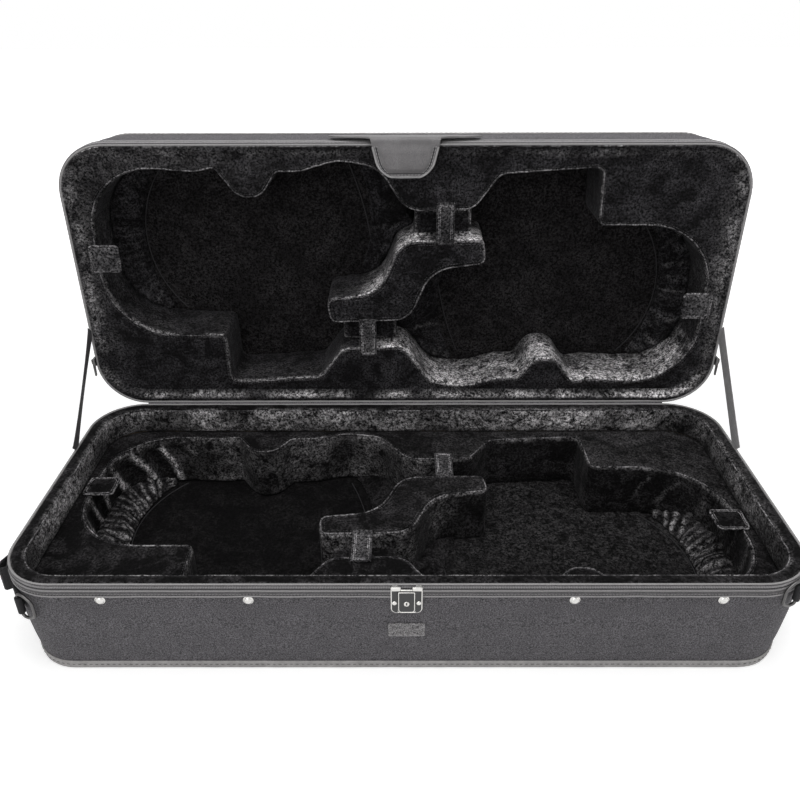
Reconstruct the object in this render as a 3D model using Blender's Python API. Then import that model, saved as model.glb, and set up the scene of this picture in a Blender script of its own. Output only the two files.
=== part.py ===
# Case for four violins, open, with its lid standing upright on the fabric hinge.
# Metres. X runs along the case, -Y is the front with the lock, +Z is up.
# The origin is the centre of the underside.
# Each half is drawn in its own frame: the origin is the centre of its rim, Z points
# out of the half, and Y points away from the viewer's hand. The base's frame has the
# world's axes. The lid's frame stands upright, so its Y is the world's Z.
import math

import bmesh
import bpy
from mathutils import Vector

# Outer sizes
LENGTH = 0.838
WIDTH = 0.352
BASE_HEIGHT = 0.129
LID_HEIGHT = 0.106
CORNER_RADIUS = 0.060
SIDE_TAPER = 0.009
CORNER_STEPS = 8

# Clearances: between seated pieces, between the closed rims, and from hinge to wall
FIT = 0.0003
RIM_GAP = 0.001
HINGE_SETBACK = 0.001

# Walls and covers
COVER_THICKNESS = 0.001
SHELL_WALL = 0.006
FOOT_COVER_THICKNESS = 0.0012
BINDING_HEIGHT = 0.010
BINDING_THICKNESS = 0.0013
ZIP_TAPE_HEIGHT = 0.0145
ZIP_TAPE_THICKNESS = 0.0006
RIM_FLANGE = 0.004
RIM_ROUND = 0.003
BASE_RIM_WIDTH = 0.016
LID_RIM_WIDTH = 0.013
BASE_LAND_DEPTH = 0.037
LID_LAND_DEPTH = 0.006
FLOOR_PAD_THICKNESS = 0.010
LAND_EDGE_ROUND = 0.0025

# Room for two violins head to tail, drawn for one half turn
TAIL_WALL = 0.029
BACK_WALL = 0.024
TAIL_ROUND = 0.080
ROOM_WIDTH = 0.226
WAIST_X = -0.191
WAIST_REACH = 0.042
WAIST_HALF_WIDTH = 0.040
SHOULDER_X = -0.034
SHOULDER_ROUND = 0.036
CHANNEL_START = 0.002
CHANNEL_END = 0.086
CHANNEL_WALL = 0.093
SCROLL_START = 0.116
SCROLL_END = 0.238

# S-shaped block between the two violins, and its lower steps that carry the necks
ISLAND_REACH = 0.102
ISLAND_TOP = 0.057
ISLAND_WAIST = 0.035
NECK_STEP_DROP = 0.022
NECK_STEP_START = 0.012
NECK_STEP_END = 0.084

# Cushions at tail and shoulder
PAD_CROWN = 0.024
PAD_EDGE = 0.0015
PAD_SIDE_GAP = 0.0005
TAIL_PAD_WIDTH = 0.038
TAIL_GATHERS = 12
TAIL_GATHER_DEPTH = 0.0016
SHOULDER_PAD_CROWN = 0.016

# Tail tabs and neck straps
TAIL_TAB_LENGTH = 0.038
TAIL_TAB_WIDTH = 0.036
TAIL_TAB_THICKNESS = 0.002
STRAP_WIDTH = 0.023
STRAP_THICKNESS = 0.002
STRAP_X = 0.050
STRAP_HINGE_Y = 0.0525
STRAP_LENGTH = 0.0525
STRAP_PATCH_LENGTH = 0.008
STRAP_PATCH_THICKNESS = 0.0014

# Lock on the front
LOCK_WIDTH = 0.032
LOCK_HEIGHT = 0.035
LOCK_THICKNESS = 0.004
LOCK_CORNER = 0.006
LOCK_SLOT_WIDTH = 0.0125
LOCK_SLOT_DEPTH = 0.010
LOCK_SLOT_GAP = 0.0018
LOCK_BACK_PLATE = 0.0008
LOCK_NOTCH_WIDTH = 0.011
LOCK_NOTCH_HEIGHT = 0.0045
SLIDER_WIDTH = 0.017
SLIDER_TOP = 0.006
SLIDER_LENGTH = 0.027
SLIDER_THICKNESS = 0.0012
SLIDER_RECESS = 0.0008
SLIDER_CHAMFER = 0.004
KEY_DIAMETER = 0.006
KEY_DROP = 0.0215
KEY_SLOT = 0.0014
LOCK_RIVET_DIAMETER = 0.005
LOCK_RIVET_X = 0.0123
LOCK_RIVET_DROP = 0.0205
HASP_WIDTH = 0.010
HASP_THICKNESS = 0.001
HASP_REACH = 0.005
HASP_PLATE_HEIGHT = 0.015

# Flap that hangs over the lock
FLAP_ROOT_WIDTH = 0.184
FLAP_ROOT_START = 0.044
FLAP_THICKNESS = 0.0018
FLAP_KNEE = 0.020
FLAP_KNEE_LIFT = 0.0039
FLAP_LIFT = 0.0074
FLAP_FRONT = 0.0052
TONGUE_WIDTH = 0.086
TONGUE_LENGTH = 0.047
TONGUE_THICKNESS = 0.002

# Front rivets and the blank patch
RIVET_DIAMETER = 0.011
RIVET_HEIGHT = 0.003
RIVET_DROP = 0.0215
RIVET_INNER_X = 0.165
RIVET_OUTER_X = 0.315
RIVET_SHIFT = 0.005
PATCH_WIDTH = 0.038
PATCH_HEIGHT = 0.020
PATCH_THICKNESS = 0.0012
PATCH_DROP = 0.065

# D-rings on the front corners, and the webbing loop at the left end
RING_WIRE = 0.0036
RING_WIDTH = 0.031
RING_DEPTH = 0.022
RING_DROP_LEFT = 0.035
RING_DROP_RIGHT = 0.018
RING_ANGLE = math.radians(54)
RING_FACING = math.radians(66)
RING_TAB_WIDTH = 0.021
RING_TAB_THICKNESS = 0.0018
LOOP_HEIGHT = 0.030
LOOP_DROP = 0.006
LOOP_ANGLE = math.radians(27)
LOOP_STAND_OFF = 0.010
LOOP_THICKNESS = 0.0018

# Stay tapes and the fabric hinge
STAY_WIDTH = 0.022
STAY_THICKNESS = 0.0012
STAY_INSET = 0.0003
STAY_BASE_DISTANCE = 0.115
STAY_LID_DISTANCE = 0.112
SPINE_WIDTH = 0.030
SPINE_THICKNESS = 0.0009

# Zip sliders and pulls
ZIP_SLIDER_WIDTH = 0.009
ZIP_SLIDER_LENGTH = 0.012
ZIP_SLIDER_THICKNESS = 0.0022
ZIP_BRIDGE_WIDTH = 0.0024
ZIP_BRIDGE_HEIGHT = 0.0036
ZIP_BRIDGE_BAR = 0.001
ZIP_BRIDGE_LENGTH = 0.0072
ZIP_PULL_WIDTH = 0.006
ZIP_PULL_LENGTH = 0.022
ZIP_PULL_THICKNESS = 0.0012
ZIP_PULL_WINDOW = 0.0052
ZIP_SLIDER_REST = 0.064

# Document pocket on the lid's outer face
POCKET_INSET = 0.024
POCKET_DEPTH = 0.007
POCKET_ROUND = 0.003
POCKET_ZIP_DROP = 0.030
POCKET_SLIDER_REST = 0.119


def make_material(name, color, roughness, metallic=0.0):
    finish = bpy.data.materials.new(name)
    finish.use_nodes = True
    shader = finish.node_tree.nodes["Principled BSDF"]
    shader.inputs["Base Color"].default_value = (*color, 1.0)
    shader.inputs["Roughness"].default_value = roughness
    shader.inputs["Metallic"].default_value = metallic
    finish.diffuse_color = (*color, 1.0)
    return finish


def clear_scene():
    for item in list(bpy.data.objects):
        bpy.data.objects.remove(item)


def make_empty(name, location, rotation=(0, 0, 0), parent=None):
    empty = bpy.data.objects.new(name, None)
    empty.location = location
    empty.rotation_euler = rotation
    empty.parent = parent
    bpy.context.collection.objects.link(empty)
    return empty


def finish_mesh(bm, name):
    bmesh.ops.recalc_face_normals(bm, faces=bm.faces)
    mesh = bpy.data.meshes.new(name)
    bm.to_mesh(mesh)
    bm.free()
    mesh.shade_smooth()
    mesh.set_sharp_from_angle(angle=math.radians(32))
    return mesh


def make_object(name, mesh, finish, parent=None, location=(0, 0, 0), rotation=(0, 0, 0)):
    item = bpy.data.objects.new(name, mesh)
    item.location = location
    item.rotation_euler = rotation
    item.parent = parent
    if mesh.materials:
        item.material_slots[0].link = "OBJECT"
        item.material_slots[0].material = finish
    else:
        mesh.materials.append(finish)
    bpy.context.collection.objects.link(item)
    return item


# Meshes

def ring_band(bm, lower, upper):
    count = len(lower)
    for i in range(count):
        j = (i + 1) % count
        bm.faces.new((lower[i], lower[j], upper[j], upper[i]))


def loft_mesh(name, rings, round_trip=False):
    # A skin through equal rings. A round trip joins the last ring to the first,
    # as in a band; otherwise both ends are capped.
    bm = bmesh.new()
    rows = [[bm.verts.new(point) for point in ring] for ring in rings]
    for lower, upper in zip(rows, rows[1:]):
        ring_band(bm, lower, upper)
    if round_trip:
        ring_band(bm, rows[-1], rows[0])
    else:
        bm.faces.new(rows[0])
        bm.faces.new(rows[-1])
    return finish_mesh(bm, name)


def block_mesh(name, walls):
    # A block whose walls are stacks of rings, the first outside and the others
    # round its holes, with flat faces filled between them at both ends.
    bm = bmesh.new()
    ends = ([], [])
    for rings in walls:
        rows = [[bm.verts.new(point) for point in ring] for ring in rings]
        for lower, upper in zip(rows, rows[1:]):
            ring_band(bm, lower, upper)
        for row, edges in ((rows[0], ends[0]), (rows[-1], ends[1])):
            for i, vert in enumerate(row):
                edges.append(bm.edges.get((vert, row[i - 1])))
    for edges in ends:
        bmesh.ops.triangle_fill(bm, use_beauty=True, edges=edges)
    return finish_mesh(bm, name)


def box_mesh(name, low, high):
    bm = bmesh.new()
    bmesh.ops.create_cube(bm, size=1.0)
    size = [b - a for a, b in zip(low, high)]
    middle = [(a + b) / 2 for a, b in zip(low, high)]
    for vert in bm.verts:
        vert.co = Vector([m + s * c for m, s, c in zip(middle, size, vert.co)])
    return finish_mesh(bm, name)


def combine(target, cutter_mesh, operation):
    # Cuts or adds one mesh, drawn in the target's own coordinates.
    cutter = bpy.data.objects.new(target.name + "_" + operation.lower(), cutter_mesh)
    cutter.parent = target
    cutter.hide_render = True
    cutter.display_type = "WIRE"
    bpy.context.collection.objects.link(cutter)
    step = target.modifiers.new(operation.title(), "BOOLEAN")
    step.operation = operation
    step.solver = "EXACT"
    step.object = cutter


# Outlines

def rounded_outline(corners, step=math.radians(15)):
    # Each corner is x, y and the radius of its round.
    points = []
    for i, (x, y, radius) in enumerate(corners):
        here = Vector((x, y))
        before = Vector(corners[i - 1][:2])
        after = Vector(corners[(i + 1) % len(corners)][:2])
        back, ahead = (before - here).normalized(), (after - here).normalized()
        half = back.angle(ahead) / 2
        turn = math.pi - 2 * half
        side = 1 if (here - before).cross(after - here) > 0 else -1
        centre = here + (back + ahead).normalized() * radius / math.sin(half)
        spoke = here + back * radius / math.tan(half) - centre
        count = max(2, math.ceil(turn / step))
        for k in range(count + 1):
            angle = side * turn * k / count
            turned = Vector((spoke.x * math.cos(angle) - spoke.y * math.sin(angle),
                             spoke.x * math.sin(angle) + spoke.y * math.cos(angle)))
            points.append(centre + turned)
    return points


def half_turn(corners):
    return [(-x, -y, radius) for x, y, radius in corners]


def grow(points, distance):
    # Moves each side of a closed outline out by a distance.
    area = sum(a.cross(b) for a, b in zip(points, points[1:] + points[:1]))
    side = 1 if area > 0 else -1
    grown = []
    for i, here in enumerate(points):
        before, after = points[i - 1], points[(i + 1) % len(points)]
        first = (here - before).normalized()
        second = (after - here).normalized()
        normal = Vector((first.y + second.y, -first.x - second.x)).normalized()
        reach = max(0.5, Vector((first.y, -first.x)).dot(normal))
        grown.append(here + normal * side * distance / reach)
    return grown


def at_height(points, z):
    return [Vector((point.x, point.y, z)) for point in points]


def resample(points, count):
    # Equal steps along an open line.
    lengths = [0.0]
    for a, b in zip(points, points[1:]):
        lengths.append(lengths[-1] + (b - a).length)
    line = []
    for k in range(count + 1):
        goal = lengths[-1] * k / count
        i = next((n for n in range(1, len(points)) if lengths[n] >= goal), len(points) - 1)
        span = lengths[i] - lengths[i - 1]
        share = (goal - lengths[i - 1]) / span if span else 0.0
        line.append(points[i - 1].lerp(points[i], min(1.0, share)))
    return line


def arc_line(first, middle, last, count):
    # Points of the circle through three points.
    a, b, c = Vector(first), Vector(middle), Vector(last)
    d = 2 * (a.x * (b.y - c.y) + b.x * (c.y - a.y) + c.x * (a.y - b.y))
    squares = [v.length_squared for v in (a, b, c)]
    centre = Vector(((squares[0] * (b.y - c.y) + squares[1] * (c.y - a.y) + squares[2] * (a.y - b.y)) / d,
                     (squares[0] * (c.x - b.x) + squares[1] * (a.x - c.x) + squares[2] * (b.x - a.x)) / d))
    start, end = a - centre, c - centre
    turn = math.atan2(start.cross(end), start.dot(end))
    if (b - centre).dot(start + end) < 0:
        turn -= math.copysign(2 * math.pi, turn)
    line = []
    for k in range(count + 1):
        angle = turn * k / count
        line.append(centre + Vector((start.x * math.cos(angle) - start.y * math.sin(angle),
                                     start.x * math.sin(angle) + start.y * math.cos(angle))))
    return line


def case_ring(inset, z):
    # The case's rounded rectangle, with the same count of points at any inset.
    half_length, half_width = LENGTH / 2 - inset, WIDTH / 2 - inset
    radius = CORNER_RADIUS - inset
    ring = []
    for quarter, (sx, sy) in enumerate(((1, 1), (-1, 1), (-1, -1), (1, -1))):
        for k in range(CORNER_STEPS + 1):
            angle = math.pi / 2 * (quarter + k / CORNER_STEPS)
            ring.append(Vector((sx * (half_length - radius) + radius * math.cos(angle),
                                sy * (half_width - radius) + radius * math.sin(angle), z)))
    return ring


def cavity_corners():
    # One violin's room from its tail to the far end of its scroll, then the same
    # again turned by half a turn for the other violin.
    top = WIDTH / 2 - BACK_WALL
    tail = -(LENGTH / 2 - TAIL_WALL)
    waist_low = top - WAIST_REACH
    first = [
        (tail, top, TAIL_ROUND),
        (WAIST_X - 0.064, top - 0.011, 0.040),
        (WAIST_X - WAIST_HALF_WIDTH, top - 0.006, 0.005),
        (WAIST_X - 0.015, waist_low, 0.024),
        (WAIST_X + 0.015, waist_low, 0.024),
        (WAIST_X + WAIST_HALF_WIDTH - 0.005, top - 0.011, 0.005),
        (WAIST_X + 0.063, top - 0.011, 0.040),
        (WAIST_X + 0.110, top + 0.003, 0.060),
        (SHOULDER_X, top - 0.006, SHOULDER_ROUND),
        (CHANNEL_START, CHANNEL_WALL - 0.001, 0.030),
        (CHANNEL_END, CHANNEL_WALL + 0.002, 0.022),
        (SCROLL_START, top - 0.014, 0.018),
        (SCROLL_END, top - 0.006, 0.009),
        (SCROLL_END + 0.002, ROOM_WIDTH - top, 0.009),
        (-tail, ROOM_WIDTH - top, TAIL_ROUND + 0.005),
    ]
    return first + half_turn(first)


def island_corners():
    first = [
        (-ISLAND_REACH - 0.002, -0.024, 0.010),
        (-ISLAND_WAIST, -0.015, 0.045),
        (-0.006, ISLAND_TOP - 0.002, 0.032),
        (ISLAND_REACH - 0.002, ISLAND_TOP + 0.001, 0.010),
    ]
    return first + half_turn(first)


# Levels and insets of one half

class Half:
    def __init__(self, name, height, land_depth, rim_width, frame):
        self.name = name
        self.height = height
        self.land = -land_depth
        self.rim_width = rim_width
        self.frame = frame
        self.shell_bottom = -height + FOOT_COVER_THICKNESS + FIT
        self.floor = self.shell_bottom + SHELL_WALL
        self.pad_bottom = self.floor + FIT
        self.pad_top = self.pad_bottom + FLOOR_PAD_THICKNESS
        self.insert_bottom = self.pad_top + FIT

    def share(self, z):
        return min(1.0, max(0.0, (z + self.height) / self.height))

    def side_inset(self, z):
        # The cover's face: straight facets between a few heights of a curved side.
        heights = (0.0, 0.25, 0.55, 1.0)
        share = self.share(z)
        for low, high in zip(heights, heights[1:]):
            if share <= high:
                a, b = SIDE_TAPER * (1 - low) ** 2, SIDE_TAPER * (1 - high) ** 2
                return a + (b - a) * (share - low) / (high - low)
        return 0.0

    def side_levels(self, low, high):
        middle = [-self.height * (1 - share) for share in (0.25, 0.55)]
        return [low] + [z for z in middle if low < z < high] + [high]

    def room_inset(self, z):
        return COVER_THICKNESS + FIT + SHELL_WALL + SIDE_TAPER * (1 - self.share(z))


# Pieces that both halves have

def build_side_cover(half, finish):
    levels = half.side_levels(half.shell_bottom, -2 * FIT)
    outer = [case_ring(half.side_inset(z), z) for z in levels]
    inner = [case_ring(half.side_inset(z) + COVER_THICKNESS, z) for z in reversed(levels)]
    name = half.name + "_side_cover"
    make_object(name, loft_mesh(name, outer + inner, True), finish, half.frame)


def build_foot_cover(half, name, finish):
    inset = half.side_inset(-half.height)
    rings = [case_ring(inset, -half.height), case_ring(inset, -half.height + FOOT_COVER_THICKNESS)]
    make_object(name, loft_mesh(name, rings), finish, half.frame)


def build_binding(half, name, finish):
    low = -half.height + FIT
    high = low + BINDING_HEIGHT
    inner = [case_ring(half.side_inset(z) - FIT, z) for z in (high, low)]
    outer = [case_ring(half.side_inset(z) - FIT - lift, z)
             for z, lift in ((low, BINDING_THICKNESS * 0.6),
                             (low + BINDING_HEIGHT * 0.25, BINDING_THICKNESS),
                             (high - BINDING_HEIGHT * 0.15, BINDING_THICKNESS),
                             (high, BINDING_THICKNESS * 0.6))]
    make_object(name, loft_mesh(name, inner + outer, True), finish, half.frame)


def build_shell(half, finish):
    top = -RIM_FLANGE - FIT
    levels = half.side_levels(half.shell_bottom, top)
    rings = [case_ring(half.side_inset(z) + COVER_THICKNESS + FIT, z) for z in levels]
    rings += [case_ring(half.room_inset(z), z) for z in (top, half.floor)]
    name = half.name + "_shell"
    make_object(name, loft_mesh(name, rings), finish, half.frame)


def build_rim_frame(half, finish):
    outer = COVER_THICKNESS + FIT
    foot = half.land + FIT
    leg = half.room_inset(foot) + FIT
    section = [
        (outer, -RIM_FLANGE),
        (outer, -RIM_ROUND * 0.5),
        (outer + RIM_ROUND * 0.5, 0.0),
        (half.rim_width - RIM_ROUND, 0.0),
        (half.rim_width - RIM_ROUND * 0.3, -RIM_ROUND * 0.3),
        (half.rim_width, -RIM_ROUND),
        (half.rim_width, foot),
        (leg, foot),
        (leg, -RIM_FLANGE),
    ]
    rings = [case_ring(inset, z) for inset, z in section]
    name = half.name + "_rim_frame"
    make_object(name, loft_mesh(name, rings, True), finish, half.frame)


def build_floor_pad(half, finish):
    rings = [case_ring(half.room_inset(z) + FIT, z) for z in (half.pad_bottom, half.pad_top)]
    name = half.name + "_floor_pad"
    make_object(name, loft_mesh(name, rings), finish, half.frame)


def build_insert(half, finish):
    levels = (half.insert_bottom, half.land)
    outer = [case_ring(half.room_inset(z) + FIT, z) for z in levels]
    room = rounded_outline(cavity_corners(), math.radians(18))
    hole = [at_height(room, half.insert_bottom),
            at_height(room, half.land - LAND_EDGE_ROUND),
            at_height(grow(room, LAND_EDGE_ROUND * 0.35), half.land - LAND_EDGE_ROUND * 0.35),
            at_height(grow(room, LAND_EDGE_ROUND), half.land)]
    name = half.name + "_insert"
    make_object(name, block_mesh(name, [outer, hole]), finish, half.frame)


def build_neck_island(half, finish):
    outline = rounded_outline(island_corners())
    rings = [at_height(outline, half.insert_bottom),
             at_height(outline, half.land - LAND_EDGE_ROUND),
             at_height(grow(outline, -LAND_EDGE_ROUND * 0.3), half.land - LAND_EDGE_ROUND * 0.3),
             at_height(grow(outline, -LAND_EDGE_ROUND), half.land)]
    name = half.name + "_neck_island"
    island = make_object(name, loft_mesh(name, rings), finish, half.frame)
    step_top = half.land - NECK_STEP_DROP
    patch_end = STRAP_HINGE_Y - STRAP_THICKNESS / 2 - FIT
    for side, label in ((1, "upper"), (-1, "lower")):
        near, far = ISLAND_TOP - 0.012, CHANNEL_WALL - 0.0022
        xs = sorted((side * NECK_STEP_START, side * NECK_STEP_END))
        ys = sorted((side * near, side * far))
        step = box_mesh(label + "_neck_step", (xs[0], ys[0], half.insert_bottom), (xs[1], ys[1], step_top))
        combine(island, step, "UNION")
        xs = sorted((side * STRAP_X - STRAP_WIDTH / 2, side * STRAP_X + STRAP_WIDTH / 2))
        ys = sorted((side * (patch_end - STRAP_PATCH_LENGTH), side * patch_end))
        patch = box_mesh(label + "_strap_patch", (xs[0], ys[0], half.land - 0.002),
                         (xs[1], ys[1], half.land + STRAP_PATCH_THICKNESS))
        combine(island, patch, "UNION")


def pad_mesh(name, wall_line, seam_line, bottom, crown, gathers, turned):
    # A cushion between a wall and its seam on the floor, crowned in the middle,
    # low at the seam and at both tips, with its cloth gathered along the wall.
    columns = 4
    side = -1 if turned else 1
    rings = []
    last = len(wall_line) - 1
    for i, (wall, seam) in enumerate(zip(wall_line, seam_line)):
        t = i / last
        swell = math.sin(math.pi * (0.06 + 0.88 * t)) ** 0.6
        fold = TAIL_GATHER_DEPTH * math.sin(2 * math.pi * gathers * t) if gathers else 0.0
        ring = [(wall, bottom)]
        for j in range(columns + 1):
            s = j / columns
            rise = (crown * swell + fold) * math.cos(math.pi / 2 * s) ** 0.9
            ring.append((wall.lerp(seam, s), bottom + PAD_EDGE + rise))
        ring.append((seam, bottom))
        rings.append([Vector((side * point.x, side * point.y, z)) for point, z in ring])
    return loft_mesh(name, rings)


def build_pads(half, finish):
    room = grow(rounded_outline(cavity_corners(), math.radians(18)), -PAD_SIDE_GAP)
    island = grow(rounded_outline(island_corners()), PAD_SIDE_GAP)
    top = WIDTH / 2 - BACK_WALL
    low = top - ROOM_WIDTH
    tail = -(LENGTH / 2 - TAIL_WALL)
    bottom = half.pad_top + FIT
    # The wall round the tail is the end of the outline and then its start.
    reach = tail + TAIL_ROUND * 0.97
    start = [p for p in room[:len(room) // 8] if p.x < reach]
    end = [p for p in room[-len(room) // 8:] if p.x < reach]
    steps = TAIL_GATHERS * 4
    wall_line = resample(end + start, steps)
    seam = arc_line(wall_line[0] + Vector((0.004, 0.004)), (tail + TAIL_PAD_WIDTH, (top + low) / 2 - 0.006),
                    wall_line[-1] + Vector((0.004, -0.004)), steps)
    # The shoulder cushion fills the corner between the wall, the neck step and the island.
    left_edge = NECK_STEP_START - PAD_SIDE_GAP
    wall_part = [p for p in room[:len(room) // 2]
                 if SHOULDER_X - 0.045 < p.x < left_edge - 0.001 and p.y > CHANNEL_WALL - 0.012]
    island_part = [p for p in island
                   if SHOULDER_X - 0.027 < p.x < left_edge - 0.001 and p.y > -0.024 and p.x < p.y * 0.5 + 0.001]
    island_part.sort(key=lambda p: -p.y)
    boundary = wall_part + [Vector((left_edge, CHANNEL_WALL - 0.002)), Vector((left_edge, ISLAND_TOP + 0.001))]
    boundary += island_part
    shoulder_steps = 28
    outer = resample(boundary, shoulder_steps)
    inner = arc_line(outer[0] + Vector((-0.003, -0.004)), (SHOULDER_X - 0.014, 0.048),
                     outer[-1] + Vector((-0.004, 0.002)), shoulder_steps)
    for side, turned in (("left", False), ("right", True)):
        name = f"{half.name}_tail_pad_{side}"
        mesh = pad_mesh(name, wall_line, seam, bottom, PAD_CROWN, TAIL_GATHERS, turned)
        make_object(name, mesh, finish, half.frame)
        name = f"{half.name}_shoulder_pad_{side}"
        mesh = pad_mesh(name, outer, inner, bottom, SHOULDER_PAD_CROWN, 0, turned)
        make_object(name, mesh, finish, half.frame)


def build_tail_tabs(half, finish):
    middle = WIDTH / 2 - BACK_WALL - ROOM_WIDTH / 2 - 0.006
    start = -(LENGTH / 2 - BASE_RIM_WIDTH) + 0.002
    low = half.land + FIT
    for side, label in ((1, "left"), (-1, "right")):
        corners = [(side * start, side * (middle - TAIL_TAB_WIDTH / 2), 0.003),
                   (side * (start + TAIL_TAB_LENGTH), side * (middle - TAIL_TAB_WIDTH / 2), 0.004),
                   (side * (start + TAIL_TAB_LENGTH), side * (middle + TAIL_TAB_WIDTH / 2), 0.004),
                   (side * start, side * (middle + TAIL_TAB_WIDTH / 2), 0.003)]
        outline = rounded_outline(corners, math.radians(30))
        rings = [at_height(outline, low), at_height(outline, low + TAIL_TAB_THICKNESS)]
        name = f"{half.name}_tail_tab_{label}"
        make_object(name, loft_mesh(name, rings), finish, half.frame)


def build_zip_tape(half, finish):
    # Runs round both ends and the front, and stops at the hinge corners.
    front_y = 1 if half.name == "lid" else -1
    inner_inset, outer_inset = -FIT, -FIT - ZIP_TAPE_THICKNESS
    low, high = -ZIP_TAPE_HEIGHT, -2 * FIT
    section = [case_ring(inset, z) for inset, z in
               ((inner_inset, low), (outer_inset, low), (outer_inset, high), (inner_inset, high))]
    count = len(section[0])
    start = (2 if front_y > 0 else 0) * (CORNER_STEPS + 1) + CORNER_STEPS + 1
    order = [(start + k) % count for k in range(count)]
    rings = [[corner[i] for corner in section] for i in order]
    name = half.name + "_zip_tape"
    make_object(name, loft_mesh(name, rings), finish, half.frame)


def bead_plate_mesh(name, width, length, thickness, narrow=None):
    # A flat strip along +Y whose near edge is a bead round the X axis.
    radius = thickness / 2
    stations = [(-radius * math.cos(a), radius * math.sin(a)) for a in
                (math.radians(15), math.radians(45), math.radians(90))]
    stations.append((length - radius * 0.6, radius))
    stations.append((length, radius * 0.4))
    rings = []
    for y, reach in stations:
        half_width = width / 2 if narrow is None else narrow(y)
        rings.append([Vector((-half_width, y, -reach)), Vector((half_width, y, -reach)),
                      Vector((half_width, y, reach)), Vector((-half_width, y, reach))])
    return loft_mesh(name, rings)


def build_neck_straps(half, finish):
    height = half.land + FIT + STRAP_THICKNESS / 2
    mesh = bead_plate_mesh(half.name + "_neck_strap", STRAP_WIDTH, STRAP_LENGTH, STRAP_THICKNESS)
    for side, label, turn in ((1, "upper", 0.0), (-1, "lower", math.pi)):
        make_object(f"{half.name}_neck_strap_{label}", mesh, finish, half.frame,
                    (side * STRAP_X, side * STRAP_HINGE_Y, height), (0, 0, turn))


def build_half(half, foot_name, binding_name, finishes):
    build_shell(half, finishes["board"])
    build_side_cover(half, finishes["nylon"])
    build_foot_cover(half, foot_name, finishes["nylon"])
    build_binding(half, binding_name, finishes["binding"])
    build_rim_frame(half, finishes["plush"])
    build_floor_pad(half, finishes["plush"])
    build_insert(half, finishes["plush"])
    build_neck_island(half, finishes["plush"])
    build_pads(half, finishes["plush"])
    build_tail_tabs(half, finishes["plush"])
    build_zip_tape(half, finishes["tape"])
    build_neck_straps(half, finishes["plush"])


# Lock, hasp and front hardware. A depth is measured out from the front's flat face.

def front_y(depth):
    return -(WIDTH / 2 + depth)


LOCK_BACK = FIT + ZIP_TAPE_THICKNESS + FIT
LOCK_FACE = LOCK_BACK + LOCK_THICKNESS
SLOT_BACK = LOCK_BACK + LOCK_BACK_PLATE
SLOT_FACE = SLOT_BACK + LOCK_SLOT_GAP
RECESS_FACE = LOCK_FACE - SLIDER_RECESS
SLIDER_FACE = RECESS_FACE + FIT + SLIDER_THICKNESS


def upright_plate_mesh(name, outline, back, face, holes=()):
    # An outline in x and z, standing in front of the case between two depths.
    def stand(points, depth):
        return [Vector((point.x, front_y(depth), point.y)) for point in points]
    walls = [[stand(points, back), stand(points, face)] for points in (outline, *holes)]
    return block_mesh(name, walls)


def circle_points(x, y, radius, count):
    return [Vector((x + radius * math.cos(2 * math.pi * k / count),
                    y + radius * math.sin(2 * math.pi * k / count))) for k in range(count)]


def dome_mesh(name, radius, height, count=14):
    # Flat back on the X-Z plane, crown towards -Y.
    stations = ((1.0, 0.0), (0.96, 0.35), (0.74, 0.75), (0.40, 0.95), (0.12, 1.0))
    rings = [[Vector((p.x, -height * rise, p.y)) for p in circle_points(0, 0, radius * share, count)]
             for share, rise in stations]
    return loft_mesh(name, rings)


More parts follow.
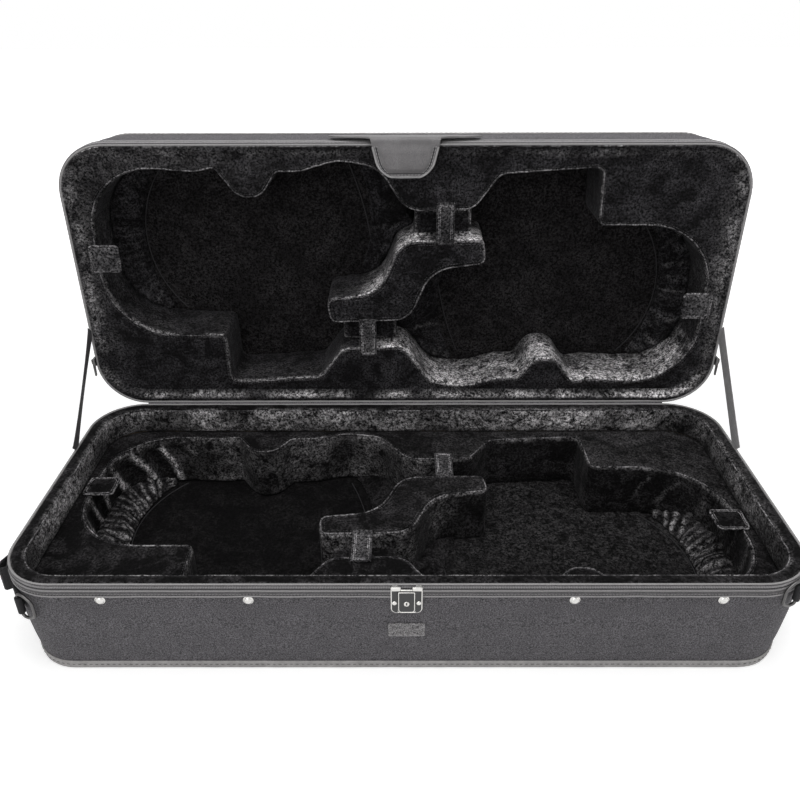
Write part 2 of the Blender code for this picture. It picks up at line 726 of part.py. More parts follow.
def build_lock(frame, finishes):
    half_width = LOCK_WIDTH / 2
    outline = rounded_outline([(-half_width, 0.0, 0.001), (half_width, 0.0, 0.001),
                               (half_width, -LOCK_HEIGHT, LOCK_CORNER),
                               (-half_width, -LOCK_HEIGHT, LOCK_CORNER)], math.radians(22.5))
    plate = make_object("lock_plate", upright_plate_mesh("lock_plate", outline, LOCK_BACK, LOCK_FACE),
                        finishes["black_metal"], frame)
    over = 0.001
    combine(plate, box_mesh("hasp_slot", (-LOCK_SLOT_WIDTH / 2, front_y(SLOT_FACE), -LOCK_SLOT_DEPTH),
                            (LOCK_SLOT_WIDTH / 2, front_y(SLOT_BACK), over)), "DIFFERENCE")
    combine(plate, box_mesh("front_notch", (-LOCK_NOTCH_WIDTH / 2, front_y(LOCK_FACE + over), -LOCK_NOTCH_HEIGHT),
                            (LOCK_NOTCH_WIDTH / 2, front_y(SLOT_BACK + LOCK_SLOT_GAP / 2), over)), "DIFFERENCE")
    recess_half = SLIDER_WIDTH / 2 + FIT
    combine(plate, box_mesh("slider_recess",
                            (-recess_half, front_y(LOCK_FACE + over), -LOCK_HEIGHT - over),
                            (recess_half, front_y(RECESS_FACE), -SLIDER_TOP + FIT)), "DIFFERENCE")
    for side in (-1, 1):
        head = dome_mesh("lock_rivet", LOCK_RIVET_DIAMETER / 2, LOCK_RIVET_DIAMETER * 0.28, 12)
        for vert in head.vertices:
            vert.co += Vector((side * LOCK_RIVET_X, front_y(LOCK_FACE) + FIT, -LOCK_RIVET_DROP))
        combine(plate, head, "UNION")

    half_width = SLIDER_WIDTH / 2
    top, low = -SLIDER_TOP, -SLIDER_TOP - SLIDER_LENGTH
    outline = [Vector(p) for p in ((-half_width, top), (-half_width, low + SLIDER_CHAMFER),
                                   (-half_width + SLIDER_CHAMFER, low), (half_width - SLIDER_CHAMFER, low),
                                   (half_width, low + SLIDER_CHAMFER), (half_width, top))]
    key_hole = circle_points(0.0, -KEY_DROP, KEY_DIAMETER / 2 + FIT, 20)
    make_object("lock_slider", upright_plate_mesh("lock_slider", outline, RECESS_FACE + FIT, SLIDER_FACE,
                                                  [key_hole]), finishes["black_metal"], frame)

    key_round = circle_points(0.0, 0.0, KEY_DIAMETER / 2, 20)
    rings = [[Vector((p.x, y, p.y)) for p in key_round]
             for y in (0.0, -SLIDER_THICKNESS)]
    plug = make_object("key_plug", loft_mesh("key_plug", rings), finishes["chrome"], frame,
                       (0.0, front_y(RECESS_FACE + FIT), -KEY_DROP))
    combine(plug, box_mesh("key_slot", (-KEY_SLOT / 2, -SLIDER_THICKNESS - over, -KEY_DIAMETER * 0.36),
                           (KEY_SLOT / 2, -SLIDER_THICKNESS * 0.4, KEY_DIAMETER * 0.36)), "DIFFERENCE")


def lid_front(depth):
    return WIDTH / 2 + depth


def build_hasp(frame, finish):
    inner = SLOT_BACK + (LOCK_SLOT_GAP - HASP_THICKNESS) / 2
    outer = inner + HASP_THICKNESS
    section = [(LOCK_BACK, -HASP_PLATE_HEIGHT), (outer, -HASP_PLATE_HEIGHT), (outer, HASP_REACH - 0.0006),
               (outer - 0.0003, HASP_REACH), (inner + 0.0003, HASP_REACH), (inner, HASP_REACH - 0.0006),
               (inner, -0.001), (LOCK_BACK, -0.001)]
    rings = [[Vector((x, lid_front(depth), z)) for depth, z in section]
             for x in (-HASP_WIDTH / 2, HASP_WIDTH / 2)]
    make_object("hasp", loft_mesh("hasp", rings), finish, frame)


def build_flap(frame, finish):
    # The root is sewn to the lid's front wall and lifts towards the rim.
    tongue_half = TONGUE_WIDTH / 2
    wide = FLAP_ROOT_WIDTH / 2
    lift_end = FLAP_LIFT
    stations = [(-FLAP_ROOT_START, wide - 0.004), (-FLAP_ROOT_START + 0.004, wide),
                (-FLAP_KNEE, wide), (-0.013, wide - 0.006), (-0.008, wide - 0.026),
                (-0.004, tongue_half + 0.006), (FLAP_FRONT, tongue_half)]
    rings = []
    for z, half_width in stations:
        if z < -FLAP_KNEE:
            share = (z + FLAP_ROOT_START) / (FLAP_ROOT_START - FLAP_KNEE)
            lift = FIT + FLAP_KNEE_LIFT * share
        else:
            share = (z + FLAP_KNEE) / (FLAP_FRONT + FLAP_KNEE)
            lift = FLAP_KNEE_LIFT + FIT + (lift_end - FLAP_KNEE_LIFT - FIT) * share
        rings.append([Vector((-half_width, lid_front(lift), z)), Vector((half_width, lid_front(lift), z)),
                      Vector((half_width, lid_front(lift + FLAP_THICKNESS), z)),
                      Vector((-half_width, lid_front(lift + FLAP_THICKNESS), z))])
    make_object("flap_root", loft_mesh("flap_root", rings), finish, frame)

    radius = TONGUE_THICKNESS / 2
    stations = [(-radius * math.cos(math.radians(a)), radius * math.sin(math.radians(a))) for a in (20, 50, 90)]
    for share in (0.15, 0.35, 0.55, 0.72, 0.85, 0.94, 0.985):
        stations.append((TONGUE_LENGTH * share, radius))
    stations.append((TONGUE_LENGTH, radius * 0.6))
    rings = []
    for reach, thick in stations:
        share = max(0.0, reach / TONGUE_LENGTH)
        half_width = tongue_half * (1 - 0.22 * share) * (1 - 0.62 * max(0.0, share - 0.5) ** 2.0 / 0.25)
        # At rest the tongue hangs towards the hinge, in front of the lid's rim.
        rings.append([Vector((-half_width, -reach, -thick)), Vector((half_width, -reach, -thick)),
                      Vector((half_width, -reach, thick)), Vector((-half_width, -reach, thick))])
    axis_z = FLAP_FRONT + FIT + radius
    axis_depth = FLAP_LIFT + FLAP_THICKNESS / 2
    make_object("flap_tongue", loft_mesh("flap_tongue", rings), finish, frame,
                (0.0, lid_front(axis_depth), axis_z))


def build_front_trim(base, finishes):
    for index, x in enumerate((-RIVET_OUTER_X, -RIVET_INNER_X, RIVET_INNER_X, RIVET_OUTER_X), 1):
        x += RIVET_SHIFT
        depth = FIT - base.side_inset(-RIVET_DROP - RIVET_DIAMETER / 2)
        make_object(f"front_rivet_{index}", dome_mesh("front_rivet", RIVET_DIAMETER / 2, RIVET_HEIGHT),
                    finishes["chrome"], base.frame, (x, front_y(depth + 0.0004), -RIVET_DROP))
    corners = [(sx * PATCH_WIDTH / 2, -PATCH_DROP + sz * PATCH_HEIGHT / 2, 0.0015)
               for sx, sz in ((-1, -1), (1, -1), (1, 1), (-1, 1))]
    outline = rounded_outline(corners, math.radians(45))
    rings = [[Vector((p.x, front_y(lift - base.side_inset(p.y)), p.y)) for p in outline]
             for lift in (FIT, FIT + PATCH_THICKNESS)]
    make_object("blank_patch", loft_mesh("blank_patch", rings), finishes["binding"], base.frame)


# D-rings, webbing loop, stay tapes and the fabric hinge

def corner_point(angle, depth):
    # A point round the front left corner, 0 at the end wall and 90 degrees at the front.
    radius = CORNER_RADIUS + depth
    return Vector((-(LENGTH / 2 - CORNER_RADIUS) - radius * math.cos(angle),
                   -(WIDTH / 2 - CORNER_RADIUS) - radius * math.sin(angle)))


def mirror_for(side, points):
    return [Vector((side * -point.x, point.y)) for point in points]


CORNER_FACET = math.pi / 2 / CORNER_STEPS
TAPE_SEAT = FIT + ZIP_TAPE_THICKNESS + FIT


def build_d_ring(base, side, drop, finishes):
    label = "left" if side < 0 else "right"
    middle = -drop
    high, low = middle + RING_TAB_WIDTH / 2, middle - RING_TAB_WIDTH / 2
    over_tape = high > -ZIP_TAPE_HEIGHT
    sleeve_inner = RING_WIRE / 2 + FIT
    sleeve_outer = sleeve_inner + RING_TAB_THICKNESS
    axis = corner_point(RING_ANGLE, TAPE_SEAT + sleeve_outer)
    inward = (corner_point(RING_ANGLE, 0) - axis).normalized()
    back = Vector((-inward.y, inward.x))
    # The tab is a strap round the corner that ends in a sleeve on the ring's bar.
    sleeve = []
    count = 9
    for k in range(count + 1):
        angle = math.radians(265) * k / count
        sleeve.append(axis + sleeve_outer * (inward * math.cos(angle) - back * math.sin(angle)))
    facets = (4, 3)
    outlines = []
    for z in (low, high):
        seat = TAPE_SEAT if over_tape else FIT - base.side_inset(z)
        outer = [corner_point(CORNER_FACET * f, TAPE_SEAT + RING_TAB_THICKNESS) for f in facets]
        inner = [corner_point(CORNER_FACET * f, seat) for f in reversed(facets)]
        outlines.append(at_height(mirror_for(side, sleeve + outer + inner), z))
    bore = [axis + sleeve_inner * Vector((math.cos(2 * math.pi * k / 12), math.sin(2 * math.pi * k / 12)))
            for k in range(12)]
    bores = [at_height(mirror_for(side, bore), z) for z in (low, high)]
    name = f"d_ring_tab_{label}"
    make_object(name, block_mesh(name, [outlines, bores]), finishes["webbing"], base.frame)

    # The ring is a bent wire in the plane of its bar, which lies on the ring's own Z axis.
    bend = 0.004
    half = RING_WIDTH / 2
    reach = RING_DEPTH - RING_WIRE
    path = rounded_outline([(0.0, -half, bend), (0.0, half, bend), (reach * 0.45, half, 0.006),
                            (reach, half * 0.62, 0.008), (reach, -half * 0.62, 0.008),
                            (reach * 0.45, -half, 0.006)], math.radians(30))
    wire = bpy.data.curves.new(f"d_ring_{label}", "CURVE")
    wire.dimensions = "3D"
    wire.bevel_depth = RING_WIRE / 2
    wire.bevel_resolution = 2
    spline = wire.splines.new("POLY")
    spline.points.add(len(path) - 1)
    spline.use_cyclic_u = True
    for point, place in zip(spline.points, path):
        point.co = (place.x, 0.0, place.y, 1.0)
    wire.materials.append(finishes["chrome"])
    ring = bpy.data.objects.new(f"d_ring_{label}", wire)
    # The ring lies against the corner, its open side towards the front.
    heading = RING_FACING - math.pi / 2
    if side > 0:
        heading = math.pi - heading
    ring.rotation_euler = (0, 0, heading)
    ring.location = (-side * axis.x, axis.y, middle)
    ring.parent = base.frame
    bpy.context.collection.objects.link(ring)


def build_webbing_loop(base, finish):
    # A loop of webbing sewn to the left end where the corner begins, bowed out at its front.
    high = -LOOP_DROP
    step, t = CORNER_FACET, LOOP_THICKNESS
    far = TAPE_SEAT + LOOP_STAND_OFF
    places = [(0.0, TAPE_SEAT), (step, TAPE_SEAT), (2 * step, TAPE_SEAT), (LOOP_ANGLE, TAPE_SEAT),
              (LOOP_ANGLE, far - t), (LOOP_ANGLE - t / CORNER_RADIUS, far), (LOOP_ANGLE * 0.75, far),
              (LOOP_ANGLE * 0.58, far - t), (LOOP_ANGLE * 0.25, TAPE_SEAT + t), (0.0, TAPE_SEAT + t)]
    inner_end = LOOP_ANGLE - t / CORNER_RADIUS
    inner = [(LOOP_ANGLE * 0.35, TAPE_SEAT + t * 1.1), (step, TAPE_SEAT + t), (2 * step, TAPE_SEAT + t),
             (inner_end, TAPE_SEAT + t), (inner_end, far - t), (LOOP_ANGLE * 0.78, far - t),
             (LOOP_ANGLE * 0.64, far - 2 * t)]
    levels = (high - LOOP_HEIGHT, high)
    walls = [[at_height([corner_point(a, d) for a, d in ring], z) for z in levels]
             for ring in (places, inner)]
    make_object("webbing_loop", block_mesh("webbing_loop", walls), finish, base.frame)


HINGE_Y = WIDTH / 2 + HINGE_SETBACK
HINGE_Z = BASE_HEIGHT + RIM_GAP / 2
LID_RIM_Y = HINGE_Y + RIM_GAP / 2


def build_stay_tapes(finish):
    # Each tape lies in the plane of its end wall, from the base's rim to the lid's.
    foot = Vector((HINGE_Y - STAY_BASE_DISTANCE, BASE_HEIGHT))
    head = Vector((LID_RIM_Y, HINGE_Z + STAY_LID_DISTANCE))
    run = (head - foot).normalized()
    half_foot = STAY_WIDTH / 2 / abs(run.y)
    half_head = STAY_WIDTH / 2 / abs(run.x)
    section = [(foot.x - half_foot, foot.y + FIT), (foot.x + half_foot, foot.y + FIT),
               (head.x - FIT, head.y - half_head), (head.x - FIT, head.y + half_head)]
    for side, label in ((-1, "left"), (1, "right")):
        near = side * (LENGTH / 2 - STAY_INSET)
        rings = [[Vector((x, y, z)) for y, z in section] for x in (near, near - side * STAY_THICKNESS)]
        name = f"stay_tape_{label}"
        make_object(name, loft_mesh(name, rings), finish)


def build_hinge_spine(finish):
    # With the lid upright the hinge cloth makes a corner: down the base's back wall
    # and out under the lid's hinge wall.
    inner_y, inner_z = WIDTH / 2 + FIT, BASE_HEIGHT + FIT
    t = SPINE_THICKNESS
    section = [(inner_y, BASE_HEIGHT - SPINE_WIDTH), (inner_y + t, BASE_HEIGHT - SPINE_WIDTH),
               (inner_y + t, inner_z), (WIDTH / 2 + SPINE_WIDTH, inner_z),
               (WIDTH / 2 + SPINE_WIDTH, inner_z + t), (inner_y, inner_z + t)]
    half_run = LENGTH / 2 - CORNER_RADIUS
    rings = [[Vector((x, y, z)) for y, z in section] for x in (-half_run, half_run)]
    make_object("hinge_spine", loft_mesh("hinge_spine", rings), finish)


# Zip sliders and pulls, drawn with the chain along Y and the cloth facing +Z

ZIP_AXIS_HEIGHT = ZIP_SLIDER_THICKNESS + ZIP_BRIDGE_HEIGHT - ZIP_BRIDGE_BAR - ZIP_PULL_THICKNESS / 2 - 0.0006


def slider_body_mesh():
    wide, narrow = ZIP_SLIDER_WIDTH / 2, ZIP_SLIDER_WIDTH * 0.36
    half = ZIP_SLIDER_LENGTH / 2
    outline = rounded_outline([(-narrow, -half, 0.0012), (narrow, -half, 0.0012),
                               (wide, half * 0.2, 0.003), (wide, half, 0.0016),
                               (-wide, half, 0.0016), (-wide, half * 0.2, 0.003)], math.radians(45))
    rings = [at_height(outline, 0.0), at_height(outline, ZIP_SLIDER_THICKNESS)]
    return loft_mesh("zip_slider", rings)


def slider_bridge_mesh():
    half = ZIP_BRIDGE_LENGTH / 2
    bar = ZIP_BRIDGE_BAR
    low = ZIP_SLIDER_THICKNESS - 0.0005
    high = ZIP_SLIDER_THICKNESS + ZIP_BRIDGE_HEIGHT
    profile = [(-half, low), (-half, high - 0.0008), (-half + 0.0008, high), (half - 0.0008, high),
               (half, high - 0.0008), (half, low), (half - bar, low), (half - bar, high - bar),
               (-half + bar, high - bar), (-half + bar, low)]
    rings = [[Vector((x, y, z)) for y, z in profile] for x in (-ZIP_BRIDGE_WIDTH / 2, ZIP_BRIDGE_WIDTH / 2)]
    return loft_mesh("zip_bridge", rings)


def pull_mesh():
    # A flat tab with a window; the bar above the window hangs under the slider's bridge.
    half = ZIP_PULL_WIDTH / 2
    bar = ZIP_PULL_THICKNESS / 2
    outline = rounded_outline([(-half * 0.85, bar, 0.0004), (half * 0.85, bar, 0.0004),
                               (half, -ZIP_PULL_WINDOW, 0.002), (half * 0.8, -ZIP_PULL_LENGTH, 0.0018),
                               (-half * 0.8, -ZIP_PULL_LENGTH, 0.0018), (-half, -ZIP_PULL_WINDOW, 0.002)],
                              math.radians(45))
    opening = ZIP_BRIDGE_WIDTH / 2 + 0.0004
    window = rounded_outline([(-opening, -bar, 0.0002), (opening, -bar, 0.0002),
                              (opening, -ZIP_PULL_WINDOW, 0.0006), (-opening, -ZIP_PULL_WINDOW, 0.0006)],
                             math.radians(45))
    levels = (-ZIP_PULL_THICKNESS / 2, ZIP_PULL_THICKNESS / 2)
    return block_mesh("zip_pull", [[at_height(points, z) for z in levels] for points in (outline, window)])


def build_zip_slider(name, pull_name, frame, location, rotation, finish):
    slider = make_object(name, slider_body_mesh(), finish, frame, location, rotation)
    combine(slider, slider_bridge_mesh(), "UNION")
    pull_frame = make_empty(pull_name + "_axis", location, rotation, frame)
    make_object(pull_name, pull_mesh(), finish, pull_frame, (0, 0, ZIP_AXIS_HEIGHT))


def build_lid_zip_sliders(frame, finish):
    seat = FIT + ZIP_TAPE_THICKNESS + FIT
    rest_y = ZIP_SLIDER_REST - WIDTH / 2
    for side, label in ((-1, "left"), (1, "right")):
        build_zip_slider(f"zip_slider_{label}", f"zip_pull_{label}", frame,
                         (side * (LENGTH / 2 + seat), rest_y, -RIM_GAP / 2), (0, side * math.pi / 2, 0), finish)


def build_pocket(lid, finishes):
    base_z = -lid.height - FIT
    face_z = base_z - POCKET_DEPTH
    inset = lid.side_inset(-lid.height) + POCKET_INSET
    rings = [case_ring(inset, base_z), case_ring(inset, face_z + POCKET_ROUND),
             case_ring(inset + POCKET_ROUND * 0.3, face_z + POCKET_ROUND * 0.3),
             case_ring(inset + POCKET_ROUND, face_z)]
    make_object("document_pocket", loft_mesh("document_pocket", rings), finishes["nylon"], lid.frame)
    y = WIDTH / 2 - inset - POCKET_ZIP_DROP
    build_zip_slider("pocket_slider", "pocket_pull", lid.frame, (POCKET_SLIDER_REST - LENGTH / 2, y, face_z - FIT),
                     (0, math.pi, -math.pi / 2), finishes["chrome"])


def build_case():
    clear_scene()
    finishes = {
        "board": make_material("Board", (0.16, 0.13, 0.10), 0.9),
        "nylon": make_material("Woven nylon", (0.075, 0.072, 0.078), 0.85),
        "binding": make_material("Binding", (0.30, 0.29, 0.29), 0.8),
        "tape": make_material("Zip tape", (0.05, 0.05, 0.052), 0.8),
        "plush": make_material("Black plush", (0.012, 0.012, 0.013), 0.95),
        "leather": make_material("Grained leatherette", (0.22, 0.22, 0.225), 0.55),
        "webbing": make_material("Webbing", (0.10, 0.10, 0.105), 0.85),
        "chrome": make_material("Chrome", (0.80, 0.79, 0.77), 0.18, 1.0),
        "black_metal": make_material("Black enamelled metal", (0.03, 0.03, 0.032), 0.35, 0.6),
    }
    base_frame = make_empty("base_frame", (0, 0, BASE_HEIGHT))
    lid_pivot = make_empty("lid_pivot", (0, HINGE_Y, HINGE_Z), (math.pi / 2, 0, 0))
    lid_frame = make_empty("lid_frame", (0, WIDTH / 2 + HINGE_SETBACK, -RIM_GAP / 2), parent=lid_pivot)
    base = Half("base", BASE_HEIGHT, BASE_LAND_DEPTH, BASE_RIM_WIDTH, base_frame)
    lid = Half("lid", LID_HEIGHT, LID_LAND_DEPTH, LID_RIM_WIDTH, lid_frame)
    build_half(base, "base_bottom_cover", "base_bottom_binding", finishes)
    build_half(lid, "lid_top_cover", "lid_top_binding", finishes)
    build_lock(base_frame, finishes)
    build_hasp(lid_frame, finishes["chrome"])
    build_flap(lid_frame, finishes["leather"])
    build_front_trim(base, finishes)
    build_d_ring(base, -1, RING_DROP_LEFT, finishes)
    build_d_ring(base, 1, RING_DROP_RIGHT, finishes)
    build_webbing_loop(base, finishes["webbing"])
    build_stay_tapes(finishes["webbing"])
    build_hinge_spine(finishes["nylon"])
    build_lid_zip_sliders(lid_frame, finishes["chrome"])
    build_pocket(lid, finishes)
    bpy.context.view_layer.update()


build_case()
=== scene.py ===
import bmesh
import bpy
import math
from math import cos, pi, radians, sin
from mathutils import Matrix, Vector, noise
from mathutils.bvhtree import BVHTree


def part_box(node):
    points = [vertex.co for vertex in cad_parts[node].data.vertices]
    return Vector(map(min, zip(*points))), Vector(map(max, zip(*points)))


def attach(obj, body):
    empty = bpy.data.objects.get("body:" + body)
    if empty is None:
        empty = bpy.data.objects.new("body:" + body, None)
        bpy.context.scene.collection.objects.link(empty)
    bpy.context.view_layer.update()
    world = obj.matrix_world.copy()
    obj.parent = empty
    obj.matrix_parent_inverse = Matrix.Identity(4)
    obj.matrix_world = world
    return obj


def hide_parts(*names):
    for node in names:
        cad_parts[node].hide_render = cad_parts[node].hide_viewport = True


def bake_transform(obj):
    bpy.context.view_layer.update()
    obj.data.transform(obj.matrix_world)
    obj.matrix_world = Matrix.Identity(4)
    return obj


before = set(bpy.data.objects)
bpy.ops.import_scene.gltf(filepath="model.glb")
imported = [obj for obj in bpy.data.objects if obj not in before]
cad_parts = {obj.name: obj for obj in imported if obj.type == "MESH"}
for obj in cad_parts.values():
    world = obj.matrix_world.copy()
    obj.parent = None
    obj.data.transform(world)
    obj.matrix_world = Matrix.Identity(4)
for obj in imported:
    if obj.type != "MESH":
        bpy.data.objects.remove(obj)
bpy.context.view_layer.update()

scene = bpy.context.scene
print("frame loaded", len(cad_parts), "nodes")

# The open case: the base lies on the floor, the lid stands on its cloth hinge.
# Each half is drawn in its own frame: x along the case, y away from the base's front
# or up the standing lid, z out of the half, with 0 at its rim.
case = {
    "width": 0.352,
    "cornerX": 0.359,
    "cornerY": 0.116,
    "cornerRound": 0.060,
    "sideTaper": 0.009,
    "baseRimUp": 0.129,
    "lidRimBack": 0.1775,
    "lidMiddleUp": 0.3065,
}
halves = {
    "base": {"height": 0.129, "land": -0.037, "padTop": -0.1112},
    "lid": {"height": 0.106, "land": -0.006, "padTop": -0.0882},
}


def inCase(half, p):
    # From a half's own frame to the case
    if half == "base":
        return Vector((p[0], p[1], case["baseRimUp"] + p[2]))
    return Vector((p[0], case["lidRimBack"] - p[2], case["lidMiddleUp"] + p[1]))


def turned(half, v):
    return Vector(v) if half == "base" else Vector((v[0], -v[2], v[1]))


def inHalf(half, p):
    if half == "base":
        return Vector((p[0], p[1], p[2] - case["baseRimUp"]))
    return Vector((p[0], p[2] - case["lidMiddleUp"], case["lidRimBack"] - p[1]))


def linked(name, data):
    data.name = name
    obj = bpy.data.objects.new(name, data)
    scene.collection.objects.link(obj)
    return obj


# Camera, at the photograph's angle
view = {"pitch": 28.94, "yaw": -0.175, "roll": -0.157, "lens": 34.63, "shiftY": -0.026,
        "place": (-0.0043, -0.7482, 0.6787)}


def makeCamera():
    pitch, yaw, roll = (radians(view[key]) for key in ("pitch", "yaw", "roll"))
    ahead = Vector((sin(yaw) * cos(pitch), cos(yaw) * cos(pitch), -sin(pitch)))
    right = ahead.cross(Vector((0, 0, 1))).normalized()
    up = right.cross(ahead)
    rolledRight = right * cos(roll) + up * sin(roll)
    rolledUp = up * cos(roll) - right * sin(roll)
    data = bpy.data.cameras.new("camera")
    data.sensor_width = 36
    data.sensor_fit = "HORIZONTAL"
    data.lens = view["lens"]
    data.shift_y = view["shiftY"]
    data.clip_start = 0.01
    camera = linked("camera", data)
    rows = list(zip(rolledRight, rolledUp, -ahead, view["place"]))
    camera.matrix_world = Matrix(rows + [(0, 0, 0, 1)])
    scene.camera = camera


makeCamera()


# Materials
def addNode(tree, kind, **settings):
    node = tree.nodes.new(kind)
    for key, value in settings.items():
        setattr(node, key, value)
    return node


def feed(tree, socket, value):
    # Numbers and colours are set, the outputs of other nodes are linked
    if isinstance(value, (int, float)):
        socket.default_value = value
    elif isinstance(value, tuple):
        socket.default_value = (*value, 1.0)
    else:
        tree.links.new(value, socket)


def mathNode(tree, operation, *values):
    node = addNode(tree, "ShaderNodeMath", operation=operation)
    for socket, value in zip(node.inputs, values):
        feed(tree, socket, value)
    return node.outputs[0]


def startMaterial(name, roughness=0.7, metallic=0.0, specular=0.5):
    material = bpy.data.materials.new(name)
    material.use_nodes = True
    tree = material.node_tree
    shader = tree.nodes["Principled BSDF"]
    shader.inputs["Roughness"].default_value = roughness
    shader.inputs["Metallic"].default_value = metallic
    shader.inputs["Specular IOR Level"].default_value = specular
    return material, tree, shader


def objectPlace(tree, stretch=(1, 1, 1)):
    place = addNode(tree, "ShaderNodeTexCoord")
    mapping = addNode(tree, "ShaderNodeMapping")
    mapping.inputs["Scale"].default_value = stretch
    tree.links.new(place.outputs["Object"], mapping.inputs["Vector"])
    return mapping.outputs["Vector"]


def noiseAt(tree, place, scale, detail=3.0, roughness=0.55, distortion=0.0):
    node = addNode(tree, "ShaderNodeTexNoise")
    for key, value in (("Vector", place), ("Scale", scale), ("Detail", detail), ("Roughness", roughness),
                       ("Distortion", distortion)):
        feed(tree, node.inputs[key], value)
    return node.outputs["Fac"]


def ramp(tree, value, low, high, toLow=0.0, toHigh=1.0):
    node = addNode(tree, "ShaderNodeMapRange")
    for key, number in (("Value", value), ("From Min", low), ("From Max", high), ("To Min", toLow),
                        ("To Max", toHigh)):
        feed(tree, node.inputs[key], number)
    return node.outputs["Result"]


def mixColor(tree, factor, first, second, blendType="MIX"):
    node = addNode(tree, "ShaderNodeMix", data_type="RGBA", blend_type=blendType)
    for key, value in (("Factor", factor), (6, first), (7, second)):
        feed(tree, node.inputs[key], value)
    return node.outputs[2]


def scaled(color, factor):
    return tuple(c * factor for c in color)


def setColor(tree, shader, tone, shade=None):
    # The tone, darkened or lightened by a grey shade
    if shade is not None:
        grey = addNode(tree, "ShaderNodeCombineColor")
        for socket in grey.inputs:
            tree.links.new(shade, socket)
        tone = mixColor(tree, 1.0, tone, grey.outputs[0], "MULTIPLY")
    tree.links.new(tone, shader.inputs["Base Color"])


def bumpFrom(tree, shader, height, strength, distance, under=None):
    node = addNode(tree, "ShaderNodeBump")
    node.inputs["Strength"].default_value = strength
    node.inputs["Distance"].default_value = distance
    tree.links.new(height, node.inputs["Height"])
    if under is not None:
        tree.links.new(under, node.inputs["Normal"])
    tree.links.new(node.outputs["Normal"], shader.inputs["Normal"])
    return node.outputs["Normal"]


def weaveHeight(tree, place, period):
    # Plain weave: two sets of threads that pass over and under each other
    split = addNode(tree, "ShaderNodeSeparateXYZ")
    tree.links.new(place, split.inputs[0])
    waves = []
    for axis in (0, 1):
        scaled = mathNode(tree, "MULTIPLY", split.outputs[axis], 2 * pi / period)
        waves.append(mathNode(tree, "SINE", scaled))
    return mathNode(tree, "MULTIPLY", waves[0], waves[1])


def clothPlace(tree):
    node = addNode(tree, "ShaderNodeUVMap", uv_map="cloth")
    return node.outputs["UV"]


# The plush's look: the pile, patch and streak scales, and the light grey of its painted sheen
plushLook = {"pile": 360, "patches": 24, "streaks": 70, "sheenTone": (0.380, 0.368, 0.374)}


def plushMaterial(name, dark, light, low=0.44, high=0.68, grain=1.0, sheen=0.10):
    # Short pile cloth: patches where the nap lies the other way, and a painted sheen where the stored sheen
    # values are high
    material, tree, shader = startMaterial(name, roughness=0.92, specular=0.10)
    shader.inputs["Sheen Weight"].default_value = sheen
    shader.inputs["Sheen Roughness"].default_value = 0.30
    shader.inputs["Sheen Tint"].default_value = (0.55, 0.54, 0.56, 1.0)
    place = objectPlace(tree)
    patches = noiseAt(tree, place, plushLook["patches"], 4.0, 0.62, 0.9)
    streaks = noiseAt(tree, objectPlace(tree, (1.0, 1.0, 1.8)), plushLook["streaks"], 4.0, 0.66, 1.4)
    crushed = mathNode(tree, "ADD", mathNode(tree, "MULTIPLY", patches, 0.62),
                       mathNode(tree, "MULTIPLY", streaks, 0.38))
    nap = ramp(tree, crushed, low, high)
    pile = noiseAt(tree, place, plushLook["pile"], 3.0, 0.8)
    fibres = ramp(tree, pile, 0.41, 0.60, 1 - 0.92 * grain, 1 + 1.9 * grain)
    tone = mixColor(tree, nap, dark, light)
    # Painted sheen: the stored values, broken into clumps, lighten the colour towards a light grey
    sheenValues = addNode(tree, "ShaderNodeAttribute", attribute_name="brushed")
    clumps = ramp(tree, noiseAt(tree, place, 95, 4.0, 0.75, 0.6), 0.38, 0.62, 0.0, 1.5)
    sheenAmount = mathNode(tree, "MULTIPLY", sheenValues.outputs["Fac"], clumps)
    setColor(tree, shader, mixColor(tree, sheenAmount, tone, plushLook["sheenTone"]), fibres)
    lean = bumpFrom(tree, shader, nap, 0.4, 0.0014)
    bumpFrom(tree, shader, pile, 0.8, 0.0008, lean)
    return material


wovenMottle = 0.14


def wovenMaterial(name, color, period, roughness=0.75, depth=0.00025, onCloth=True, grain=0.3):
    material, tree, shader = startMaterial(name, roughness=roughness, specular=0.35)
    place = objectPlace(tree)
    spread = ramp(tree, noiseAt(tree, place, 36, 5.0, 0.7), 0.3, 0.7, 1 - wovenMottle, 1 + wovenMottle)
    grains = ramp(tree, noiseAt(tree, place, 720, 2.0, 0.8), 0.34, 0.66, 1 - grain, 1 + grain)
    weave = weaveHeight(tree, clothPlace(tree) if onCloth else place, period)
    # Painted shade between the threads: darker in the weave's hollows, lighter on its tops
    lit = mixColor(tree, ramp(tree, weave, -0.6, 0.8), scaled(color, 0.74), scaled(color, 1.2))
    setColor(tree, shader, lit, mathNode(tree, "MULTIPLY", spread, grains))
    broad = bumpFrom(tree, shader, noiseAt(tree, place, 30, 4.0, 0.6), 0.4, 0.003)
    bumpFrom(tree, shader, weave, 0.7, depth, broad)
    return material


def ribbedMaterial(name, color, pitch):
    # Ribs across a tape, on the tape's own length
    material, tree, shader = startMaterial(name, roughness=0.7, specular=0.3)
    split = addNode(tree, "ShaderNodeSeparateXYZ")
    tree.links.new(clothPlace(tree), split.inputs[0])
    ribs = mathNode(tree, "SINE", mathNode(tree, "MULTIPLY", split.outputs[0], 2 * pi / pitch))
    wear = ramp(tree, noiseAt(tree, objectPlace(tree), 90, 5.0, 0.7), 0.3, 0.72, 0.75, 1.2)
    # Painted shade between the ribs: darker in their hollows, lighter on their tops
    tone = mixColor(tree, ramp(tree, ribs, -1.0, 0.6), scaled(color, 0.62), scaled(color, 1.12))
    setColor(tree, shader, tone, wear)
    bumpFrom(tree, shader, ribs, 0.6, 0.0003)
    return material


